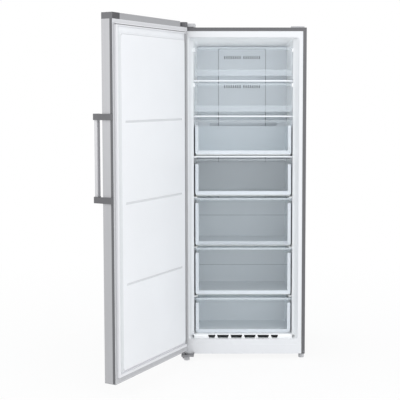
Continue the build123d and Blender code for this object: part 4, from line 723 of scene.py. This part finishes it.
def shadings(c):
    """Colour by place of the finishes that have one."""
    frame_back = (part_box("drawer_2_front")[1].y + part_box("drawer_2_bin")[0].y) / 2 + FRAME_LIP
    low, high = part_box("base_air_grille")
    under_floor = (c.floor_shade, {"X": (low.x + GRILLE_SIDE, high.x - GRILLE_SIDE),
                                   "Y": (low.y + GRILLE_WALL[0], None),
                                   "Z": (None, high.z - GRILLE_WALL[1])})
    behind_flange = (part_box("kick_panel")[0].y + FLANGE_DEPTH, None)
    left_wall = (c.wall_shade, {"X": (None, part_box("drawer_1_bin")[0].x - MM),
                                "Y": behind_flange}, WALL_EDGE)
    return {
        # painted light on the tub's walls behind the flange; painted shade on the wall next to the hinge and under
        # the raised floor
        "tub_white": shade_within((c.tub, {"Y": behind_flange}), left_wall, under_floor),
        # painted shade on the inner door's grooves and upper edge, and on its slope next to the handle
        "door_white": door_bands("door_liner", (c.pad_shade, Y, 1, *PAD_LINE),
                                 (c.pad_side, X, 1, *PAD_SIDE_SHADE)),
        # painted light on the rim above the seal
        "rim_grey": door_bands("door_liner", (c.rim_top, Z, 1, -MM, RIM_TOP_DEPTH)),
        # painted shade along the seal's top and down its hinge side
        "seal_soft": door_bands("door_gasket", (c.channel, Z, 1, *SEAL_TOP_SHADE),
                                (c.seal_shade, X, -1, -MM, SEAL_SIDE)),
        # painted light on the plug's outer side
        "plug_dark": door_bands("door_top_plug", (c.plug_side, X, 1, -MM, PLUG_SIDE)),
        # painted shade round and inside the air duct
        "panel_and_duct_shade": shade_within(
            (c.duct_edge, outline_of("air_duct_cover", -DUCT_SHADE_RING)),
            (c.duct_shade, outline_of("air_duct_cover", DUCT_WALL))),
        # painted shade for each drawer's inside, and painted light on its floor
        **{f"bin_plastic_{number}": bin_shading(f"drawer_{number}_bin",
                                                [value * share for value in c.bin_inside],
                                                c.bin_floor, frame_back)
           for number, share in BIN_SHADE_SHARES.items()},
    }


def doubled_plastic():
    """Where the clear plastic is folded or doubled: a flap's grip, head and both side edges,
    and the finger lip of a plain drawer front."""
    bands = []
    for low, high in (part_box("flap_1"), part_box("flap_2")):
        bands += [{"Z": (low.z - MM, low.z + FLAP_GRIP), "Y": (None, high.y)},
                  {"Z": (high.z - FLAP_HEAD, high.z + MM)},
                  {"Z": (low.z, high.z), "X": (None, low.x + FLAP_SIDE)},
                  {"Z": (low.z, high.z), "X": (high.x - FLAP_SIDE, None)}]
    for number in (3, 4, 5):
        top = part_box(f"drawer_{number}_front")[1].z
        bands.append({"Z": (top - FRONT_LIP, top + MM)})
    return bands


# ---------- operators
class FREEZER_OT_finishes(bpy.types.Operator):
    """Makes the finishes and puts them on the pieces of the fixed frame."""
    bl_idname = "freezer.finishes"
    bl_label = "Finishes"

    def execute(self, context):
        make_groups()
        shapings = shadings(context.scene.freezer_colours)
        alphas = {"clear_plastic_sheet": milky_bands(doubled_plastic())}
        for name, (*basics, more) in FINISHES.items():
            finish(name, *basics, shaping=shapings.get(name), alpha=alphas.get(name), **more)
        for node, piece in NODES.items():
            material = MATERIALS[NODE_FINISH.get(node, SLOT_FINISH[SLOT_OF[node]])]
            if not piece.data.materials:
                piece.data.materials.append(material)
            for slot in piece.material_slots:
                slot.material = material
        return {"FINISHED"}


class FREEZER_OT_door_seal(bpy.types.Operator):
    """Bellows seal round the inner door: half a section, mirrored about its middle."""
    bl_idname = "freezer.door_seal"
    bl_label = "Door seal"

    def execute(self, context):
        s = context.scene.freezer_sizes
        low, high = closed_box("door_gasket")
        base, tip = low[Y], high[Y]
        neck = base + (tip - base - s.bead_height) / 2
        bead = tip - s.bead_height
        # closed section as (inset from the outer edge, place along Y)
        half = [(0.0, base), (0.0, base + 1.2 * MM), (s.fold_depth, base + 2.4 * MM),
                (s.fold_depth, neck - 0.8 * MM), (0.6 * MM, neck + 0.4 * MM),
                (s.fold_depth, bead), (0.0, bead + 0.8 * MM), (0.0, tip - 1.8 * MM),
                (0.6 * MM, tip - 0.6 * MM), (2 * MM, tip)]
        section = half + [(s.seal_width / 2, tip - 0.4 * MM)]
        section += [(s.seal_width - inset, y) for inset, y in reversed(half)]
        add("door_seal", mitred(np.array(section), low, high), "seal_soft", "door",
            stands_for="door_gasket")
        return {"FINISHED"}


class FREEZER_OT_door_trim(bpy.types.Operator):
    """Grey rim of the inner door, and a dark strip on the door's edge that is painted shade."""
    bl_idname = "freezer.door_trim"
    bl_label = "Door trim"

    def execute(self, context):
        low, high = closed_box("door_liner")
        seal_low, seal_high = closed_box("door_gasket")
        _, skin = closed_box("door_skin")
        # the rim: a flat ring between the door's edge and the seal
        face, reach = seal_low[Y], seal_low[X] - low[X]
        near, far = 1.2 * MM, reach + 0.8 * MM
        lifted = face + 0.6 * MM
        section = np.array([(near, face), (near, lifted), (far, lifted), (far, face)])
        rim = mitred(section, low, high, foot=(seal_low[Z] - low[Z]) / reach,
                     head=(high[Z] - seal_high[Z]) / reach)
        add("door_rim", rim, "rim_grey", "door")
        # the dark strip, painted shade at the door's inner edge: a flat bar on the handle side's face, (inset from
        # the edge, lift)
        width = context.scene.freezer_sizes.strip_width
        flat, worn, sunk = MM, 0.8 * MM, 0.2 * MM
        inset, lift = np.array([(0.0, 0.0), (0.0, 0.7 * MM), (worn, flat), (width - worn, flat),
                                (width, 0.7 * MM), (width, 0.0)]).T
        ends = [np.column_stack([skin[X] - sunk + lift, skin[Y] - inset, np.full(len(inset), z)])
                for z in (low[Z], high[Z])]
        add("door_edge_strip", tube(swing(ends)), "edge_dark", "door")
        return {"FINISHED"}


class FREEZER_OT_rear_sheet(bpy.types.Operator):
    """Pressed ribs, screws and wall spacers on the back of the cabinet."""
    bl_idname = "freezer.rear_sheet"
    bl_label = "Rear sheet"

    def execute(self, context):
        s = context.scene.freezer_sizes
        low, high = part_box("back_panel")
        middle, half = (low.x + high.x) / 2, (high.x - low.x) / 2
        face = high.y
        rib_side, rib_end, screw_side, screw_end, screw_row = np.array([70, 160, 12, 30, 20]) * MM
        # each rib: a cosine to the power of 0.8 across, held to nothing at both rounded ends
        straight = 0.94
        u, v = np.meshgrid(np.linspace(-1, 1, 41), np.linspace(-1, 1, 9), indexing="ij")
        beyond = np.clip((np.abs(u) - straight) / (1 - straight), 0, 1)
        end = np.sqrt(1 - beyond ** 2)
        lift = s.rib_height * np.cos(v * QUARTER) ** 0.8 * end
        x = middle + u * (half - rib_side)
        ribs = []
        for level in np.linspace(low.z + rib_end, high.z - rib_end, 7):
            z = level + v * end * s.rib_width / 2
            ribs.append(layered(np.stack([x, face - 0.2 * MM + lift, z], -1),
                                np.stack([x, np.full(x.shape, face - 0.6 * MM), z], -1)))
        add("rear_ribs", join(ribs), "rear_paint", "cabinet", crease=60)
        places = [(middle + side * (half - screw_side), face, z) for side in (-1, 1)
                  for z in np.linspace(low.z + screw_end, high.z - screw_end, 8)]
        places += [(middle + share * half, face, z) for share in (-0.5, 0.0, 0.5)
                   for z in (low.z + screw_row, high.z - screw_row)]
        screws("rear_screws", places, (0, 1, 0), s.sheet_screw)
        # two spacers that keep the back off the wall: tapered studs with a rounded end
        stud = [(17 * MM, -MM), (17 * MM, 3 * MM), (12 * MM, 6 * MM), (10 * MM, 14 * MM),
                *quarter_round(10 * MM, 5 * MM, 14 * MM, (1, -1)), (0.8 * MM, 19 * MM)]
        studs = join(lathe(stud, (middle + side * (half - 100 * MM), face, high.z - 90 * MM),
                           (0, 1, 0), 28) for side in (-1, 1))
        add("rear_spacers", studs, "plastic_black", "cabinet", crease=40)
        return {"FINISHED"}


class FREEZER_OT_machine(bpy.types.Operator):
    """Pipe stubs and bolts of the compressor."""
    bl_idname = "freezer.machine"
    bl_label = "Machine compartment"

    def execute(self, context):
        s = context.scene.freezer_sizes
        low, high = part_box("compressor")
        x, y = (low.x + high.x) / 2, (low.y + high.y) / 2
        radius = (high.y - low.y) / 2
        level = low.z + (high.z - low.z) * 0.62
        # suction pipe: out of the can's right side and up past the tray to the ceiling
        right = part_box("drip_tray")[1].x + 20 * MM
        side = y - radius * 0.3
        suction = [(x + radius * 0.80, side, level), (right, side, level),
                   (right, side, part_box("base_pan")[1].z - 1.5 * MM)]
        # process pipe: a short closed stub that turns up behind the can
        left, behind, start = x - radius * 0.1, y + radius + 12 * MM, level - 20 * MM
        process = [(left, y + radius * 0.82, start), (left, behind, start),
                   (left, behind, level + 30 * MM)]
        stubs = join(pipe(s.stub_radius, rounded_path(path, 9 * MM))
                     for path in (suction, process))
        add("compressor_stubs", stubs, "pipe_metal", "cabinet", crease=50)
        # a nut on its bolt in the middle of each rubber foot, as (radius, height)
        nut = np.array([(7.5, -1), (7.5, 0.8), (5.5, 1.4), (5.5, 5), (3.5, 5.6), (3.5, 9),
                        (0.8, 9.5)]) * MM
        plate, inset = low.z + 3 * MM, 10 * MM
        low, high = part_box("compressor_grommets")
        bolts = join(lathe(nut, (x, y, plate), (0, 0, 1), 18)
                     for x in (low.x + inset, high.x - inset)
                     for y in (low.y + inset, high.y - inset))
        add("compressor_bolts", bolts, "zinc_screw", "cabinet", crease=40)
        return {"FINISHED"}


class FREEZER_OT_fan(bpy.types.Operator):
    """Fan rotor with cambered, twisted blades round a domed hub."""
    bl_idname = "freezer.fan"
    bl_label = "Fan rotor"

    def execute(self, context):
        s = context.scene.freezer_sizes
        low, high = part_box("fan_rotor")
        x, _, z = JOINTS["fan_spin"]["pos_m"]
        y = (low.y + high.y) / 2
        reach, depth = (high.z - low.z) / 2, high.y - low.y
        hub, bore, floor = reach * 0.34, 2.7 * MM, 4 * MM
        rim = [(hub * (0.8 + 0.2 * math.sin(a)), 3 * MM * (1 - math.cos(a)))
               for a in np.linspace(0, QUARTER, 6)]
        profile = [(hub * 0.2, 0.0), *rim, (hub, depth - MM), (hub - 2 * MM, depth),
                   (bore, depth), (bore, floor), (0.8 * MM, floor)]
        shapes = [lathe(profile, (x, low.y, z), (0, 1, 0), 36)]
        # blade: radius u from hub to tip, chord v; the chord line turns with u, a cosine camber
        u, v = np.meshgrid(np.linspace(0, 1, 9), np.linspace(-1, 1, 9), indexing="ij")
        root = hub * 0.9
        radius = np.minimum(root + u * (reach - root), reach)
        pitch = math.radians(44) - u * s.twist
        chord = (14.5 + 4 * u) * MM * np.sqrt(1 - 0.12 * u * v * v)
        camber = 1.6 * MM * np.cos(v * QUARTER)
        around = chord * v * np.cos(pitch) - camber * np.sin(pitch)
        along = chord * v * np.sin(pitch) * 0.72 + camber * np.cos(pitch)
        thick = s.blade_sheet / 2
        along = y + np.clip(along, thick - depth / 2, depth / 2 - thick)
        for number in range(s.blades):
            angle = 2 * math.pi * number / s.blades + around / radius
            across, up = x + radius * np.cos(angle), z + radius * np.sin(angle)
            shapes.append(layered(np.stack([across, along + thick, up], -1),
                                  np.stack([across, along - thick, up], -1)))
        add("fan_wheel", join(shapes), "plastic_black", "evaporator_fan",
            crease=40, stands_for="fan_rotor")
        return {"FINISHED"}


class FREEZER_OT_fasteners(bpy.types.Operator):
    """Screws of the front flange and the lower hinge."""
    bl_idname = "freezer.fasteners"
    bl_label = "Fasteners"

    def execute(self, context):
        s = context.scene.freezer_sizes
        low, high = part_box("side_panel_right")
        screws("flange_screw", [(high.x - 6 * MM, low.y, low.z + 13 * MM)], (0, -1, 0),
               s.sheet_screw)
        low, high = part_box("bottom_hinge")
        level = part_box("kick_panel")[0].z - 3 * MM
        screws("hinge_screws", [(low.x + share * (high.x - low.x), high.y - 18 * MM, level)
                                for share in (0.25, 0.5, 0.75)], (0, 0, -1), s.hinge_screw)
        return {"FINISHED"}


class FREEZER_OT_front_lines(bpy.types.Operator):
    """A fine moulded line across the clear fronts of the two tall drawers."""
    bl_idname = "freezer.front_lines"
    bl_label = "Front lines"

    def execute(self, context):
        s = context.scene.freezer_sizes
        for number in (3, 4):
            low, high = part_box(f"drawer_{number}_front")
            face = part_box(f"drawer_{number}_bin")[0].y - s.front_sheet
            level = low.z + s.line_rise
            # a half round bar, closed behind: (Y, Z) from the cosine and sine of its angle
            angle = np.linspace(-QUARTER, QUARTER, 7)
            y = face + 0.2 * MM - s.line_depth * np.cos(angle)
            z = level + s.line_height / 2 * np.sin(angle)
            ends = np.array([np.column_stack([np.full(len(y), x), y, z])
                             for x in (low.x + s.line_inset, high.x - s.line_inset)])
            add(f"front_line_{number}", tube(ends), "line_grey", f"drawer_{number}",
                crease=60)
        return {"FINISHED"}


# ---------- stage
SURROUND = (0.97, 0.985, 1.0, 1.0)
PLAIN_WHITE = (1.0, 1.0, 1.0, 1.0)
FLOOR_GREY = (0.93, 0.93, 0.93, 1.0)
GLOW_GROWS = (0.9, 3.2)              # metres from the middle between which the floor turns white
FRONT_LAMPS = (("key", 3.2, (2.2, -4.3, 2.7)), ("fill", 2.6, (-4.4, -2.2, 2.0)))
CAMERA_PLACE = (0.09477, -4.87763, 1.4616)
CAMERA_TURN = (math.radians(90 - 4.362), 0.0, math.radians(-0.188))
CAMERA_LENS = 80.913
CAMERA_SHIFT = (-0.0698, -0.09)


def seen_directly(tree):
    """1 for the rays from the camera and those by way of metal or glass."""
    rays = put(tree, "ShaderNodeLightPath").outputs
    return calculate(tree, "MAXIMUM", rays["Is Camera Ray"], calculate(
        tree, "MAXIMUM", rays["Is Glossy Ray"], rays["Is Transmission Ray"]))


def emptied(owner):
    """The node tree of a world or material with no node in it."""
    owner.use_nodes = True
    owner.node_tree.nodes.clear()
    return owner.node_tree


def stand(name, data, place, turn):
    """Puts a lamp or a camera in its place."""
    thing = bpy.data.objects.new(name, data)
    bpy.context.scene.collection.objects.link(thing)
    thing.location, thing.rotation_euler = place, turn
    return thing


def lamp(name, watts, size, place, turn, deep=None):
    """A square area light, or one of size by deep."""
    light = bpy.data.lights.new(name, "AREA")
    light.energy, light.size = watts, size
    if deep:
        light.shape, light.size_y = "RECTANGLE", deep
    stand(name, light, place, turn)


class FREEZER_OT_stage(bpy.types.Operator):
    """Floor, surround, lights and the camera at the photograph's angle."""
    bl_idname = "freezer.stage"
    bl_label = "Stage"

    def execute(self, context):
        scene = context.scene
        s = scene.freezer_stage
        scene.world = bpy.data.worlds.new("surround")
        tree = emptied(scene.world)
        lit = put(tree, "ShaderNodeBackground", SURROUND, s.sky)
        white = put(tree, "ShaderNodeBackground", PLAIN_WHITE, 1.0)
        both = put(tree, "ShaderNodeMixShader", seen_directly(tree), lit.outputs[0],
                   white.outputs[0])
        put(tree, "ShaderNodeOutputWorld", both.outputs[0])

        floor_material = bpy.data.materials.new("floor_white")
        tree = emptied(floor_material)
        matt = put(tree, "ShaderNodeBsdfDiffuse", FLOOR_GREY)
        glow = put(tree, "ShaderNodeEmission", Strength=1.0)
        # plain white grows from floor_glow by the object to 1 some metres away
        away = put(tree, "ShaderNodeVectorMath", put(tree, "ShaderNodeTexCoord").outputs["Object"],
                   operation="LENGTH")
        far = ramp(tree, away.outputs["Value"], *GLOW_GROWS, s.floor_glow, 1.0)
        share = calculate(tree, "MULTIPLY", seen_directly(tree), far)
        both = put(tree, "ShaderNodeMixShader", share, matt.outputs[0], glow.outputs[0])
        put(tree, "ShaderNodeOutputMaterial", both.outputs[0])
        corners = np.array([(-1, -1, 0), (1, -1, 0), (1, 1, 0), (-1, 1, 0)]) * s.floor / 2
        mesh_piece("studio_floor", corners, [(0, 1, 2, 3)], floor_material)

        centre = (Vector(CAD_BOX[0]) + Vector(CAD_BOX[1])) / 2
        for name, size, place in FRONT_LAMPS:
            turn = (centre - Vector(place)).to_track_quat("-Z", "Y").to_euler()
            lamp(name, getattr(s, name), size, place, turn)
        # two one-sided lights: one in the opening that shines inwards, and one that shines up
        # at the ceiling
        low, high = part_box("base_air_grille")[0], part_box("flap_1")[1]
        front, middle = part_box("kick_panel")[0].y, (low.x + high.x) / 2
        wide = (high.x - low.x) * 0.98
        lamp("inside", s.inside, wide, (middle, front + 20 * MM, (low.z + high.z) / 2 + 10 * MM),
             (math.radians(90), 0.0, 0.0), high.z - low.z)
        lamp("ceiling", s.ceiling, wide, (middle, front + 230 * MM, high.z - 30 * MM),
             (math.radians(180), 0.0, 0.0), 300 * MM)

        camera = bpy.data.cameras.new("photo_view")
        camera.sensor_width = 36.0
        camera.lens = CAMERA_LENS
        camera.shift_x, camera.shift_y = CAMERA_SHIFT
        scene.camera = stand("photo_view", camera, CAMERA_PLACE, CAMERA_TURN)
        scene.view_settings.view_transform = "Standard"
        return {"FINISHED"}


OPERATORS = (FREEZER_OT_finishes, FREEZER_OT_door_seal, FREEZER_OT_door_trim,
             FREEZER_OT_rear_sheet, FREEZER_OT_machine, FREEZER_OT_fan, FREEZER_OT_fasteners,
             FREEZER_OT_front_lines, FREEZER_OT_stage)
GROUP_TYPES = (("freezer_colours", FREEZER_PG_colours), ("freezer_sizes", FREEZER_PG_sizes),
               ("freezer_stage", FREEZER_PG_stage))


class FREEZER_PT_sidebar(bpy.types.Panel):
    """Lists the freezer's operators and settings."""
    bl_idname = "FREEZER_PT_sidebar"
    bl_label = "Upright freezer"
    bl_space_type = "VIEW_3D"
    bl_region_type = "UI"
    bl_category = "Freezer"

    def draw(self, context):
        """Draws a button for each operator and a box for each group of settings."""
        for operator in OPERATORS:
            self.layout.operator(operator.bl_idname)
        for name, kind in GROUP_TYPES:
            box = self.layout.box()
            settings = getattr(context.scene, name)
            for key in kind.__annotations__:
                box.prop(settings, key)


CLASSES = (*(kind for _, kind in GROUP_TYPES), *OPERATORS, FREEZER_PT_sidebar)


def register():
    """Registers the classes and hangs the settings on the scene."""
    for kind in CLASSES:
        bpy.utils.register_class(kind)
    for name, kind in GROUP_TYPES:
        setattr(bpy.types.Scene, name, PointerProperty(type=kind))


def unregister():
    """Takes the settings and the classes away again."""
    for name, _ in GROUP_TYPES:
        delattr(bpy.types.Scene, name)
    for kind in reversed(CLASSES):
        bpy.utils.unregister_class(kind)


def main():
    register()
    for operator in OPERATORS:
        group_name, call = operator.bl_idname.split(".")
        getattr(getattr(bpy.ops, group_name), call)()


if __name__ == "__main__":
    main()
